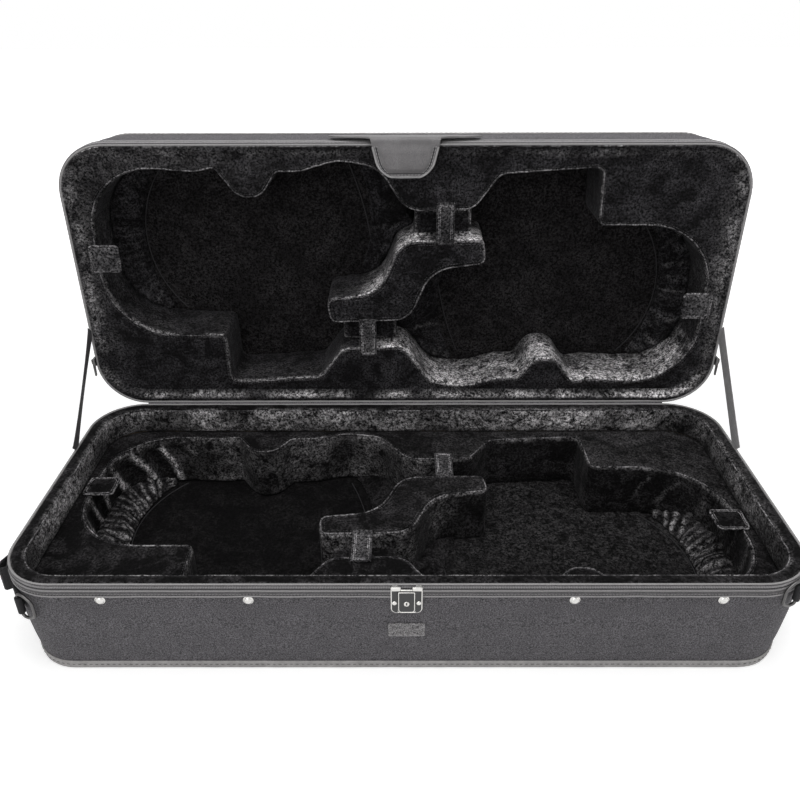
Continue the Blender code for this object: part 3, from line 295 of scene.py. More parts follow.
def leatheretteMaterial(name, color):
    material, tree, shader = startMaterial(name, roughness=0.5, specular=0.4)
    place = objectPlace(tree)
    cells = addNode(tree, "ShaderNodeTexVoronoi", feature="DISTANCE_TO_EDGE")
    cells.inputs["Scale"].default_value = 780
    tree.links.new(place, cells.inputs["Vector"])
    grain = ramp(tree, cells.outputs["Distance"], 0.0, 0.22)
    wear = noiseAt(tree, place, 42, 5.0, 0.65)
    tone = mixColor(tree, ramp(tree, wear, 0.35, 0.68), scaled(color, 0.70), scaled(color, 1.30))
    # Painted shade in the grain's creases: darker along the cell edges
    setColor(tree, shader, mixColor(tree, grain, scaled(color, 0.6), tone))
    tree.links.new(ramp(tree, wear, 0.3, 0.7, 0.42, 0.6), shader.inputs["Roughness"])
    bumpFrom(tree, shader, grain, 0.55, 0.00022)
    return material


def metalMaterial(name, color, roughness, metallic=1.0):
    material, tree, shader = startMaterial(name, roughness=roughness, metallic=metallic)
    haze = noiseAt(tree, objectPlace(tree), 260, 4.0, 0.6)
    scratches = noiseAt(tree, objectPlace(tree, (1.0, 1.0, 9.0)), 420, 2.0, 0.5)
    setColor(tree, shader, mixColor(tree, ramp(tree, haze, 0.35, 0.7), scaled(color, 0.86), color))
    both = mathNode(tree, "ADD", mathNode(tree, "MULTIPLY", haze, 0.5),
                    mathNode(tree, "MULTIPLY", scratches, 0.5))
    worn = ramp(tree, both, 0.35, 0.65, roughness * 0.75, roughness * 1.6)
    tree.links.new(worn, shader.inputs["Roughness"])
    bumpFrom(tree, shader, scratches, 0.08, 0.0002)
    return material


fleckLook = {
    "thread": {"noise": (2400, 2.0, 0.5), "roughness": 0.6, "specular": 0.3, "bump": (0.4, 0.0002)},
    "board": {"noise": (300, 5.0, 0.7), "roughness": 0.85, "specular": 0.2, "bump": (0.3, 0.0004)},
}


def fleckedMaterial(name, kind, dark, light):
    # Two tones mixed by one noise, which also raises the surface
    look = fleckLook[kind]
    material, tree, shader = startMaterial(name, roughness=look["roughness"], specular=look["specular"])
    flecks = noiseAt(tree, objectPlace(tree), *look["noise"])
    setColor(tree, shader, mixColor(tree, ramp(tree, flecks, 0.35, 0.65), dark, light))
    bumpFrom(tree, shader, flecks, *look["bump"])
    return material


def threadMaterial(name, color):
    return fleckedMaterial(name, "thread", scaled(color, 0.65), scaled(color, 1.25))


# One plush in several copies: the base's and most of all its floor's are darker, painted shade of the deep
# base
plush = {
    "lid": plushMaterial("plush_lid", (0.0030, 0.0028, 0.0031), (0.026, 0.025, 0.027)),
    "base": plushMaterial("plush_base", (0.0014, 0.0013, 0.0014), (0.020, 0.019, 0.020), 0.46, 0.66,
                          sheen=0.06),
}
plushTrim = plushMaterial("plush_trim", (0.014, 0.0135, 0.0145), (0.064, 0.062, 0.064), 0.38, 0.64)
# Lighter copies of the plush for rolled edges and borders: painted sheen
plushEdgeSheen = plushMaterial("plush_edge", (0.055, 0.053, 0.056), (0.240, 0.232, 0.238), 0.38, 0.60)
plushRollSheen = plushMaterial("plush_roll", (0.012, 0.0115, 0.0125), (0.150, 0.145, 0.149), 0.42, 0.60)
plushFloor = {
    "lid": plushMaterial("plush_floor_lid", (0.0050, 0.0046, 0.0048), (0.014, 0.0130, 0.0135), 0.42, 0.70,
                         1.15),
    "base": plushMaterial("plush_floor_base", (0.0012, 0.0011, 0.0012), (0.0070, 0.0066, 0.0068), 0.46, 0.70,
                          1.25, 0.03),
}
nylon = wovenMaterial("nylon", (0.098, 0.093, 0.101), 0.0011, grain=0.95)
tapeCloth = wovenMaterial("zip_tape", (0.128, 0.123, 0.127), 0.0009, roughness=0.65)
patchCloth = wovenMaterial("patch_cloth", (0.240, 0.232, 0.236), 0.0021, depth=0.0006, grain=0.95)
binding = ribbedMaterial("binding", (0.440, 0.428, 0.422), 0.0012)
# Both stays are one tape: the left in a darker copy, painted shade, the right in a lighter one, painted light
stayShaded = ribbedMaterial("stay_dark", (0.110, 0.106, 0.110), 0.0016)
stayLit = ribbedMaterial("stay_light", (0.430, 0.420, 0.425), 0.0016)
leatherette = leatheretteMaterial("leatherette", (0.185, 0.178, 0.182))
leatherEdge = leatheretteMaterial("leatherette_edge", (0.400, 0.390, 0.394))
chrome = metalMaterial("chrome", (0.66, 0.65, 0.63), 0.18)
dullChrome = metalMaterial("dull_chrome", (0.115, 0.112, 0.112), 0.30)
blackEnamel = metalMaterial("black_enamel", (0.020, 0.020, 0.021), 0.34, 0.0)
# Light grey nylon: on the zip coils it stands for the sheen of black nylon, painted sheen
coilNylon = threadMaterial("coil_nylon", (0.320, 0.310, 0.316))
# Tape rolls lighter than the tape itself: painted highlights on the raised rolls
tapeRollHighlight = threadMaterial("tape_roll", (0.290, 0.282, 0.286))
darkThread = threadMaterial("dark_thread", (0.018, 0.018, 0.020))
greyThread = threadMaterial("grey_thread", (0.420, 0.410, 0.415))
seamPlush = threadMaterial("seam_plush", (0.022, 0.021, 0.023))
piping = threadMaterial("rim_piping", (0.290, 0.283, 0.284))
webbingPlain = wovenMaterial("webbing_plain", (0.016, 0.0155, 0.017), 0.0016, onCloth=False, depth=0.0004)
board = fleckedMaterial("board", "board", (0.16, 0.12, 0.08), (0.26, 0.20, 0.14))
print("materials made")


# Shapes
def keepPiece(obj, material, body, replaced=()):
    if material is not None:
        obj.data.materials.clear()
        obj.data.materials.append(material)
    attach(obj, body)
    if replaced:
        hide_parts(*replaced)
    return obj


def applyAll(obj):
    # Turns live modifiers into the mesh itself
    bpy.context.view_layer.update()
    made = bpy.data.meshes.new_from_object(obj.evaluated_get(bpy.context.evaluated_depsgraph_get()))
    old = obj.data
    obj.modifiers.clear()
    obj.data = made
    made.name = obj.name
    if old.users == 0:
        bpy.data.meshes.remove(old)
    return obj


def mergedCopy(name, nodeName):
    mesh = bpy.data.meshes.new(name)
    bm = bmesh.new()
    bm.from_mesh(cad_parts[nodeName].data)
    bmesh.ops.remove_doubles(bm, verts=bm.verts, dist=0.00001)
    bm.to_mesh(mesh)
    bm.free()
    return linked(name, mesh)


def softened(obj, voxel, rounds):
    remesh = obj.modifiers.new("remesh", "REMESH")
    remesh.mode = "VOXEL"
    remesh.voxel_size = voxel
    remesh.use_smooth_shade = True
    smooth = obj.modifiers.new("smooth", "SMOOTH")
    smooth.factor = 0.5
    smooth.iterations = rounds
    return applyAll(obj)


def refined(obj):
    finer = obj.modifiers.new("finer", "SUBSURF")
    finer.levels = finer.render_levels = 1
    applyAll(obj)
    obj.data.shade_smooth()
    return obj


def storeValues(obj, key, values):
    layer = obj.data.attributes.new(key, "FLOAT", "POINT")
    layer.data.foreach_set("value", values)


def noiseOf(x, y, z):
    return noise.noise(Vector((x, y, z)))


def rectangle(x0, y0, x1, y1, lowerRound, upperRound=None):
    upper = lowerRound if upperRound is None else upperRound
    return [(x0, y0, lowerRound), (x1, y0, lowerRound), (x1, y1, upper), (x0, y1, upper)]


def inMillimetres(corners):
    return [(x * 1000, y * 1000, r * 1000) for x, y, r in corners]


def circleLine(x, y, radius, count=24):
    turns = [2 * pi * k / count for k in range(count)]
    return [Vector((x + radius * cos(turn), y + radius * sin(turn))) for turn in turns]


def pushOut(obj, amount):
    # Moves each vertex along its normal by what amount(place, normal) gives
    mesh = obj.data
    moved = [v.co + v.normal * amount(v.co, v.normal) for v in mesh.vertices]
    for vertex, place in zip(mesh.vertices, moved):
        vertex.co = place
    mesh.update()
    return obj


def roundedOutline(corners, step=radians(10)):
    # Each corner is x, y and the radius of its round, in millimetres
    points = []
    for i, (x, y, radius) in enumerate(corners):
        here = Vector((x, y))
        before, after = Vector(corners[i - 1][:2]), Vector(corners[(i + 1) % len(corners)][:2])
        back, ahead = (before - here).normalized(), (after - here).normalized()
        half = back.angle(ahead) / 2
        bend = pi - 2 * half
        side = 1 if (here - before).cross(after - here) > 0 else -1
        centre = here + (back + ahead).normalized() * radius / sin(half)
        spoke = here + back * radius / math.tan(half) - centre
        count = max(2, math.ceil(bend / step))
        for k in range(count + 1):
            a = side * bend * k / count
            points.append((centre + Vector((spoke.x * cos(a) - spoke.y * sin(a),
                                            spoke.x * sin(a) + spoke.y * cos(a)))) / 1000)
    return points


def grown(points, distance):
    area = sum(a.cross(b) for a, b in zip(points, points[1:] + points[:1]))
    side = 1 if area > 0 else -1
    result = []
    for i, here in enumerate(points):
        first = (here - points[i - 1]).normalized()
        second = (points[(i + 1) % len(points)] - here).normalized()
        out = Vector((first.y + second.y, -first.x - second.x)).normalized()
        result.append(here + out * side * distance / max(0.5, Vector((first.y, -first.x)).dot(out)))
    return result


def evened(points, step, closed=True):
    # The same line with points at even steps
    line = list(points) + ([points[0]] if closed else [])
    total = [0.0]
    for a, b in zip(line, line[1:]):
        total.append(total[-1] + (b - a).length)
    count = max(3, round(total[-1] / step))
    result, i = [], 1
    for k in range(count if closed else count + 1):
        goal = total[-1] * k / count
        while i < len(line) - 1 and total[i] < goal:
            i += 1
        span = total[i] - total[i - 1]
        result.append(line[i - 1].lerp(line[i], min(1.0, (goal - total[i - 1]) / span) if span else 0.0))
    return result


def caseRing(arcSteps, straight):
    # The case's rounded rectangle with the directions out of it, anticlockwise from the front right corner
    cx, cy, r = case["cornerX"], case["cornerY"], case["cornerRound"]
    ring = []
    arcs = [((1, -1), -90), ((1, 1), 0), ((-1, 1), 90), ((-1, -1), 180)]
    for n, ((sx, sy), start) in enumerate(arcs):
        for k in range(arcSteps + 1):
            a = radians(start + 90 * k / arcSteps)
            ring.append((Vector((sx * cx + r * cos(a), sy * cy + r * sin(a))), Vector((cos(a), sin(a)))))
        here, out = ring[-1]
        (tx, ty), begin = arcs[(n + 1) % 4]
        there = Vector((tx * cx + r * cos(radians(begin)), ty * cy + r * sin(radians(begin))))
        run = 2 * cx if n in (1, 3) else 2 * cy
        steps = round(run / straight)
        for k in range(1, steps):
            ring.append((here.lerp(there, k / steps), out.copy()))
    return ring


def openRing(half, arcSteps, straight):
    # The part of that ring that runs round both ends and past the lock, without the hinge side
    ring = caseRing(arcSteps, straight)
    hinge = 1 if half == "base" else -1
    cut = [i for i, (p, out) in enumerate(ring) if out.y * hinge > 0.999]
    first = next(i for i in cut if (i + 1) % len(ring) not in cut)
    count = len(ring) - len(cut) + 2
    return [ring[(first + k) % len(ring)] for k in range(count)]


def ringAt(half, ring, inset, z):
    # The ring at a height, moved in by one inset or by what inset(place) gives
    row = []
    for p, out in ring:
        spot = p - out * (inset(p) if callable(inset) else inset)
        row.append(inCase(half, (spot.x, spot.y, z)))
    return row


def outward(half, ring):
    return [turned(half, (out.x, out.y, 0)) for p, out in ring]


def sideInset(half, z):
    # The walls draw in towards the foot, in three straight runs
    height = halves[half]["height"]
    share = min(1.0, max(0.0, (z + height) / height))
    low, high = next((a, b) for a, b in ((0.0, 0.25), (0.25, 0.55), (0.55, 1.0)) if share <= b)
    near, far = case["sideTaper"] * (1 - low) ** 2, case["sideTaper"] * (1 - high) ** 2
    return near + (far - near) * (share - low) / (high - low)


def meshFrom(name, bm, sharpFrom=None):
    bmesh.ops.recalc_face_normals(bm, faces=bm.faces)
    mesh = bpy.data.meshes.new(name)
    bm.to_mesh(mesh)
    bm.free()
    mesh.shade_smooth()
    if sharpFrom is not None:
        mesh.set_sharp_from_angle(angle=radians(sharpFrom))
    return mesh


def loft(rings, closeTrip=False):
    # A skin through equal rings, with its own cloth lengths as a UV map in metres
    bm = bmesh.new()
    uv = bm.loops.layers.uv.new("cloth")
    rows = [[bm.verts.new(p) for p in ring] for ring in rings]
    count = len(rings[0])
    middle = rings[len(rings) // 2]
    along = [0.0]
    for i in range(count):
        along.append(along[-1] + (middle[(i + 1) % count] - middle[i]).length)
    depth = [0.0]
    for low, high in zip(rings, rings[1:] + rings[:1]):
        depth.append(depth[-1] + (high[0] - low[0]).length)
    trips = list(zip(rows, rows[1:])) + ([(rows[-1], rows[0])] if closeTrip else [])
    for r, (low, high) in enumerate(trips):
        for i in range(count):
            j = (i + 1) % count
            face = bm.faces.new((low[i], low[j], high[j], high[i]))
            spots = ((i, r), (i + 1, r), (i + 1, r + 1), (i, r + 1))
            for loop, (u, v) in zip(face.loops, spots):
                loop[uv].uv = (along[u], depth[v])
    if not closeTrip:
        for row in (rows[0], rows[-1]):
            face = bm.faces.new(row)
            for loop in face.loops:
                loop[uv].uv = (loop.vert.co.x, loop.vert.co.y + loop.vert.co.z)
    return meshFrom("loft", bm, 50)


def cordMesh(points, radius, closed=True, sides=8):
    # A round cord along a line
    data = bpy.data.curves.new("cord", "CURVE")
    data.dimensions = "3D"
    data.bevel_depth = radius
    data.bevel_resolution = max(1, sides // 2 - 2)
    data.use_fill_caps = not closed
    spline = data.splines.new("POLY")
    spline.points.add(len(points) - 1)
    spline.use_cyclic_u = closed
    for target, place in zip(spline.points, points):
        target.co = (*place, 1.0)
    holder = linked("cord", data)
    bpy.context.view_layer.update()
    mesh = bpy.data.meshes.new_from_object(holder.evaluated_get(bpy.context.evaluated_depsgraph_get()))
    bpy.data.objects.remove(holder)
    bpy.data.curves.remove(data)
    mesh.materials.clear()
    mesh.shade_smooth()
    return mesh


def joined(name, meshes):
    bm = bmesh.new()
    for mesh in meshes:
        bm.from_mesh(mesh)
    mesh = bpy.data.meshes.new(name)
    bm.to_mesh(mesh)
    bm.free()
    for old in meshes:
        if old.users == 0:
            bpy.data.meshes.remove(old)
    return mesh


def keepMesh(name, mesh, material, body, replaced=()):
    # A mesh, or a list of them as one, kept as a piece
    whole = joined(name, mesh) if isinstance(mesh, list) else mesh
    return keepPiece(linked(name, whole), material, body, replaced)


# Repeats: stitches, zip teeth and rivets are set along lines by Geometry Nodes
def repeatTree(treeName, alongLine):
    tree = bpy.data.node_groups.new(treeName, "GeometryNodeTree")
    for name, kind in (("Geometry", "Geometry"), ("Part", "Object"), ("Finish", "Material"),
                       ("Pitch", "Float"), ("Size Spread", "Float"), ("Seed", "Int")):
        tree.interface.new_socket(name, in_out="INPUT", socket_type="NodeSocket" + kind)
    tree.interface.new_socket("Geometry", in_out="OUTPUT", socket_type="NodeSocketGeometry")
    nodes = {
        "source": addNode(tree, "NodeGroupInput"),
        "result": addNode(tree, "NodeGroupOutput"),
        "part": addNode(tree, "GeometryNodeObjectInfo"),
        "faceOut": addNode(tree, "GeometryNodeInputNamedAttribute", data_type="FLOAT_VECTOR"),
        "level": addNode(tree, "FunctionNodeAlignRotationToVector", axis="X"),
        "stand": addNode(tree, "FunctionNodeAlignRotationToVector", axis="Z", pivot_axis="X"),
        "spread": addNode(tree, "FunctionNodeRandomValue", data_type="FLOAT"),
        "low": addNode(tree, "ShaderNodeMath", operation="SUBTRACT"),
        "high": addNode(tree, "ShaderNodeMath", operation="ADD"),
        "copies": addNode(tree, "GeometryNodeInstanceOnPoints"),
        "real": addNode(tree, "GeometryNodeRealizeInstances"),
        "paint": addNode(tree, "GeometryNodeSetMaterial"),
    }
    nodes["faceOut"].inputs["Name"].default_value = "faceOut"
    for key in ("low", "high"):
        nodes[key].inputs[0].default_value = 1.0
    # From a node's output to another's input
    links = [
        ("source", "Part", "part", "Object"),
        ("level", "Rotation", "stand", "Rotation"),
        ("faceOut", "Attribute", "stand", "Vector"),
        ("source", "Size Spread", "low", 1),
        ("source", "Size Spread", "high", 1),
        ("low", 0, "spread", 2),
        ("high", 0, "spread", 3),
        ("source", "Seed", "spread", "Seed"),
        ("part", "Geometry", "copies", "Instance"),
        ("stand", "Rotation", "copies", "Rotation"),
        ("spread", 1, "copies", "Scale"),
        ("copies", "Instances", "real", "Geometry"),
        ("real", "Geometry", "paint", "Geometry"),
        ("source", "Finish", "paint", "Material"),
        ("paint", "Geometry", "result", "Geometry"),
    ]
    if alongLine:
        nodes["toLine"] = addNode(tree, "GeometryNodeMeshToCurve")
        nodes["even"] = addNode(tree, "GeometryNodeResampleCurve", mode="LENGTH")
        nodes["tangent"] = addNode(tree, "GeometryNodeInputTangent")
        links += [
            ("source", "Geometry", "toLine", "Mesh"),
            ("toLine", "Curve", "even", "Curve"),
            ("source", "Pitch", "even", "Length"),
            ("even", "Curve", "copies", "Points"),
            ("tangent", "Tangent", "level", "Vector"),
        ]
    else:
        nodes["runAlong"] = addNode(tree, "GeometryNodeInputNamedAttribute", data_type="FLOAT_VECTOR")
        nodes["runAlong"].inputs["Name"].default_value = "runAlong"
        links += [("source", "Geometry", "copies", "Points"), ("runAlong", "Attribute", "level", "Vector")]
    for fromNode, output, toNode, socket in links:
        tree.links.new(nodes[fromNode].outputs[output], nodes[toNode].inputs[socket])
    return tree


lineTree = repeatTree("set_along_line", True)
pointTree = repeatTree("set_on_points", False)


def setInputs(modifier, **values):
    for item in modifier.node_group.interface.items_tree:
        key = item.name.replace(" ", "_")
        if item.in_out == "INPUT" and key in values:
            modifier[item.identifier] = values[key]


def repeated(name, lines, part, finish, body, pitch=None, sizeSpread=0.0, seed=4, replaced=()):
    # lines holds (points, outward directions, closed). With no pitch the copies stand on the points.
    mesh = bpy.data.meshes.new(name)
    places, edges, outs, runs = [], [], [], []
    for points, outward, closed in lines:
        first = len(places)
        places += [tuple(p) for p in points]
        outs += [tuple(o) for o in outward]
        for i, p in enumerate(points):
            after = points[(i + 1) % len(points)] if i + 1 < len(points) or closed else p
            before = points[i - 1] if i or closed else p
            step = Vector(after) - Vector(before)
            runs.append(tuple(step.normalized() if step.length else Vector((1, 0, 0))))
            if i:
                edges.append((first + i - 1, first + i))
        if closed:
            edges.append((first + len(points) - 1, first))
    mesh.from_pydata(places, edges if pitch else [], [])
    for key, values in (("faceOut", outs), ("runAlong", runs)):
        layer = mesh.attributes.new(key, "FLOAT_VECTOR", "POINT")
        layer.data.foreach_set("vector", [c for v in values for c in v])
    obj = linked(name, mesh)
    modifier = obj.modifiers.new("repeat", "NODES")
    modifier.node_group = lineTree if pitch else pointTree
    setInputs(modifier, Part=part, Finish=finish, Pitch=pitch or 0.01, Size_Spread=sizeSpread, Seed=seed)
    applyAll(obj)
    obj.data.shade_smooth()
    return keepPiece(obj, None, body, replaced)


def templatePart(name, build):
    # A small mesh that is only copied, never shown itself
    bm = bmesh.new()
    build(bm)
    return bpy.data.objects.new(name, meshFrom(name, bm))


def stitchPart(name, length, width, height):
    def build(bm):
        bmesh.ops.create_uvsphere(bm, u_segments=6, v_segments=4, radius=0.5)
        for v in bm.verts:
            v.co = Vector((v.co.z * length, v.co.y * width, v.co.x * height))
    return templatePart(name, build)


def turnedPart(name, profile, steps=20):
    # A solid turned round Z from (radius, height) pairs that start and end on the axis
    def build(bm):
        rows = []
        for radius, height in profile:
            spots = circleLine(0, 0, radius, steps) if radius else [Vector((0, 0))]
            rows.append([bm.verts.new((p.x, p.y, height)) for p in spots])
        for low, high in zip(rows, rows[1:]):
            for k in range(steps):
                j = (k + 1) % steps
                quad = [low[k % len(low)], low[j % len(low)], high[j % len(high)], high[k % len(high)]]
                bm.faces.new([v for n, v in enumerate(quad) if v not in quad[:n]])
    return templatePart(name, build)


stitchShort = stitchPart("stitch_short", 0.0030, 0.0007, 0.0006)
stitchDash = stitchPart("stitch_dash", 0.0040, 0.0008, 0.0006)
stitchFine = stitchPart("stitch_fine", 0.0021, 0.0006, 0.0005)
threads = {}


def sew(kind, body, points, directions, closed=True):
    # directions is one way out for the whole line, or one for each point
    if isinstance(directions, Vector):
        directions = [directions] * len(points)
    threads.setdefault((kind, body), []).append((points, directions, closed))


# Plush lining of both halves
roomCorners = [(-390, 152, 80), (-255, 141, 40), (-231, 146, 5), (-206, 110, 24), (-176, 110, 24),
               (-156, 141, 5), (-128, 141, 40), (-81, 155, 60), (-34, 146, 36), (2, 92, 30), (86, 95, 22),
               (116, 138, 18), (238, 146, 9), (240, 74, 9), (390, 74, 85)]
blockCorners = [(-104, -24, 10), (-35, -15, 45), (-6, 55, 32), (100, 58, 10)]


def withHalfTurn(corners):
    return corners + [(-x, -y, r) for x, y, r in corners]


lining = {
    "seamFromEdge": 0.0048,
    "edgeRoll": 0.0009,
    "folds": 17,
    "foldsAt": (0.300, -0.036),
    "foldDepth": 0.0026,
    # How strong the painted sheen is on the block in each half
    "blockShare": {"base": 1.1, "lid": 1.4},
    # piece, the node it covers, voxel, rounds of smoothing, creases, swells and padding
    "pieces": [
        ("insert", "insert", 0.0030, 4, 0.0007, 0.0006, 0.85),
        ("block", "neck_island", 0.0026, 4, 0.0007, 0.0006, 0.85),
        ("floor", "floor_pad", 0.0035, 2, 0.0, 0.0004, 0.7),
        ("rim", "rim_frame", None, 0, 0.0005, 0.0005, 0.8),
    ],
}
room = roundedOutline(withHalfTurn(roomCorners))
block = roundedOutline(withHalfTurn(blockCorners))


def plushMove(half, creases, swells):
    # Wrapped cloth: creases run down the walls, soft swells lie on the flats
    def amount(place, normal):
        p = inHalf(half, place)
        out = normal.z if half == "base" else -normal.y
        wall = 1 - min(1.0, abs(out) * 1.3)
        crease = noiseOf(p.x / 0.011, p.y / 0.011, p.z / 0.055)
        swell = noise.noise(Vector((p.x / 0.034, p.y / 0.034, p.z / 0.034)) + Vector((3, 7, 1)))
        fine = noise.noise(p / 0.0065)
        return creases * wall * crease + swells * swell + 0.00018 * fine
    return amount


def smoothStep(value, low, high):
    t = min(1.0, max(0.0, (value - low) / (high - low)))
    return t * t * (3 - 2 * t)


def sheenOnLid(p, n, broad, edge):
    # Painted sheen: most on the walls that look up, right of the middle, then on the rim's ends and on rolled
    # edges
    where = 0.03 + 0.85 * smoothStep(p.x, -0.07, 0.0)
    reach = 0.25 + 1.5 * broad * smoothStep(p.z, -0.095, -0.02)
    value = where * smoothStep(n.z, 0.2, 0.9) * smoothStep(p.y, 0.12, 0.02) * reach
    value += 0.15 * broad * smoothStep(abs(p.x), 0.375, 0.412)
    value += 0.55 * edge * broad * (0.25 + 0.75 * smoothStep(n.z, -0.2, 0.5))
    return value + 0.05 * smoothStep(p.y, 0.10, 0.16) * smoothStep(p.x, -0.1, -0.3)


def sheenOnBase(p, n, broad, edge):
    # Painted sheen: most on the walls that look to the front, left of the middle, then on both ends, more so
    # high up, and on rolled edges
    wall = 1 - smoothStep(abs(n.z), 0.35, 0.8)
    high = smoothStep(p.z, -0.045, -0.015)
    front = smoothStep(-n.y, 0.3, 0.9) * wall
    front *= 1 - 0.95 * smoothStep(p.x, 0.02, 0.08) * (1 - smoothStep(p.y, 0.150, 0.158))
    ends = smoothStep(abs(n.x), 0.4, 0.9) * wall
    value = front * (0.10 + 0.24 * high) * (0.3 + 1.4 * broad)
    value += ends * (0.03 + 0.30 * high) * (0.2 + 1.4 * broad) * (1.0 if p.x < 0 else 0.6)
    value += 0.16 * edge * broad
    value += 0.03 * smoothStep(p.x, -0.05, 0.15) * (1 - wall) * smoothStep(p.y, -0.12, 0.02)
    return value * (1 - 0.6 * smoothStep(-p.y, 0.150, 0.160))


def paintSheen(obj, half, share=1.0):
    # Painted sheen where walls face up in the lid and to the front in the base, and on rolled edges, with the
    # crests' painted highlights added; stored on the cloth for its material
    values = []
    brushed = sheenOnBase if half == "base" else sheenOnLid
    for v in obj.data.vertices:
        p, n = inHalf(half, v.co), v.normal
        broad = max(0.0, 0.5 + noiseOf(p.x / 0.045, p.y / 0.045, p.z / 0.045 + 3))
        up = n.z if half == "base" else -n.y
        edge = smoothStep(up, 0.10, 0.45) * (1 - smoothStep(up, 0.85, 0.985)) * smoothStep(p.z, -0.07, -0.03)
        values.append(min(1.0, max(0.0, brushed(p, n, broad, edge) * share)))
    crestHighlights = obj.data.attributes.get("crest")
    if crestHighlights:
        values = [min(1.0, value + item.value) for value, item in zip(values, crestHighlights.data)]
    storeValues(obj, "brushed", values)
    return obj


def drawn(obj, half):
    # The cloth of the base's end walls hangs in big loose folds, with painted highlights on their crests
    if half == "lid":
        return obj
    values = [item.value for item in obj.data.attributes["brushed"].data]
    moved = []
    for v in obj.data.vertices:
        p, n = inHalf(half, v.co), v.normal
        side = -1 if p.x < 0 else 1
        around = math.atan2(side * p.y - lining["foldsAt"][1], side * p.x - lining["foldsAt"][0])
        wander = noiseOf(around * 1.7, p.z / 0.05, side * 3.0)
        fold = sin(around * lining["folds"] + p.z / 0.014 * side + 2.2 * wander)
        where = smoothStep(side * p.x, 0.285, 0.325) * (1 - smoothStep(abs(n.z), 0.3, 0.7))
        where *= smoothStep(-p.z, 0.040, 0.055)
        where *= smoothStep(0.405 - abs(p.x), 0.0, 0.01) * (1.0 if side < 0 else 0.12)
        crest = math.copysign(abs(fold) ** 0.7, fold) - 0.2
        moved.append(v.co + v.normal * lining["foldDepth"] * where * crest)
        values[v.index] = values[v.index] * (1 - 0.85 * where) + 0.85 * where * max(0.0, fold) ** 5
    for vertex, place in zip(obj.data.vertices, moved):
        vertex.co = place
    obj.data.attributes["brushed"].data.foreach_set("value", values)
    return obj


rimShape = {
    # reach in from the case's outline and height, from the outer foot over the top to the inner foot
    "base": [(0.0013, -0.0045), (0.0013, -0.0022), (0.0020, -0.0008), (0.0036, 0.0000), (0.0066, 0.0002),
             (0.0100, -0.0001), (0.0130, -0.0010), (0.0150, -0.0028), (0.0160, -0.0055), (0.0163, -0.0110),
             (0.0164, -0.0180), (0.0163, -0.0250), (0.0161, -0.0320), (0.0159, -0.0367), (0.0100, -0.0367),
             (0.0100, -0.0200), (0.0100, -0.0045)],
    "lid": [(0.0013, -0.0038), (0.0013, -0.0018), (0.0022, -0.0006), (0.0040, -0.0002), (0.0064, -0.0008),
            (0.0092, -0.0022), (0.0122, -0.0040), (0.0155, -0.0053), (0.0190, -0.0064), (0.0215, -0.0072),
            (0.0150, -0.0076), (0.0090, -0.0056)],
}


def rimPadding(half):
    # The padded rim runs over the edge and down to the land
    ring = caseRing(14, 0.006)
    rings = [ringAt(half, ring, inset, z) for inset, z in rimShape[half]]
    return refined(linked(half + "_plush_rim", loft(rings, closeTrip=True)))


def makeLining(half):
    for piece, node, voxel, rounds, creases, swells, fill in lining["pieces"]:
        if voxel is None:
            obj = rimPadding(half)
        else:
            obj = softened(mergedCopy(f"{half}_plush_{piece}", f"{half}_{node}"), voxel, rounds)
        share = lining["blockShare"][half] if piece == "block" else 1.0
        paintSheen(pushOut(obj, plushMove(half, creases, swells)), half, share)
        if piece == "insert":
            drawn(obj, half)
        finish = plushFloor if piece == "floor" else plush
        keepPiece(obj, finish[half], half, [f"{half}_{node}"])

    if half == "base":
        # The rim's inner edge: a roll in the lighter plush, painted sheen
        inner = ringAt(half, caseRing(14, 0.004), 0.0149, -0.0029)
        inner = [p + Vector((0, 0, 0.0005 * noise.noise(p / 0.008))) for p in inner]
        keepMesh("base_rim_roll", cordMesh(inner, 0.0008), plushRollSheen, half)

    # Rolled edge of the room, in the lighter plush as painted sheen, and the sewn line beside it, the same
    # round the block
    land = halves[half]["land"]
    cords = []
    for outline, roll, seam in ((room, 0.0022, lining["seamFromEdge"]), (block, -0.0020, -0.0062)):
        edge = []
        for p in evened(grown(outline, roll), 0.004):
            spot = p + Vector([noise.noise(Vector((p.x, p.y, layer)) / 0.009) for layer in (1, 9)]) * 0.0006
            edge.append(inCase(half, (spot.x, spot.y, land - 0.0005)))
        cords.append(cordMesh(edge, lining["edgeRoll"]))
        line = [inCase(half, (p.x, p.y, land + 0.0003)) for p in evened(grown(outline, seam), 0.003)]
        sew("plushFine", half, line, turned(half, (0, 0, 1)))
    keepMesh(half + "_lining_rolls", cords, plushRollSheen, half)


for halfName in halves:
    makeLining(halfName)
print("lining made")


# Cushions at the tails and shoulders, filled by a cloth simulation
cushion = {
    "voxel": 0.0034,
    "frames": 20,
    "farthest": 0.0055,
    # Blender's own cloth settings; a negative least shrinking gives the cloth something to fill
    "cloth": {"quality": 4, "mass": 0.12, "use_pressure": True, "uniform_pressure_force": 4.0,
              "shrink_min": -0.10, "tension_stiffness": 14, "compression_stiffness": 14,
              "shear_stiffness": 5, "bending_stiffness": 0.25, "vertex_group_mass": "held"},
    "heldWithin": 0.0016,
    "gathers": 24,
    "gathersAt": (-0.300, 0.036),
    # How light the painted highlights on the gathers' crests are
    "crestHighlightTone": {"base": 0.55, "lid": 0.06},
    "gatherDepth": {"base": 0.0052, "lid": 0.0014},
}


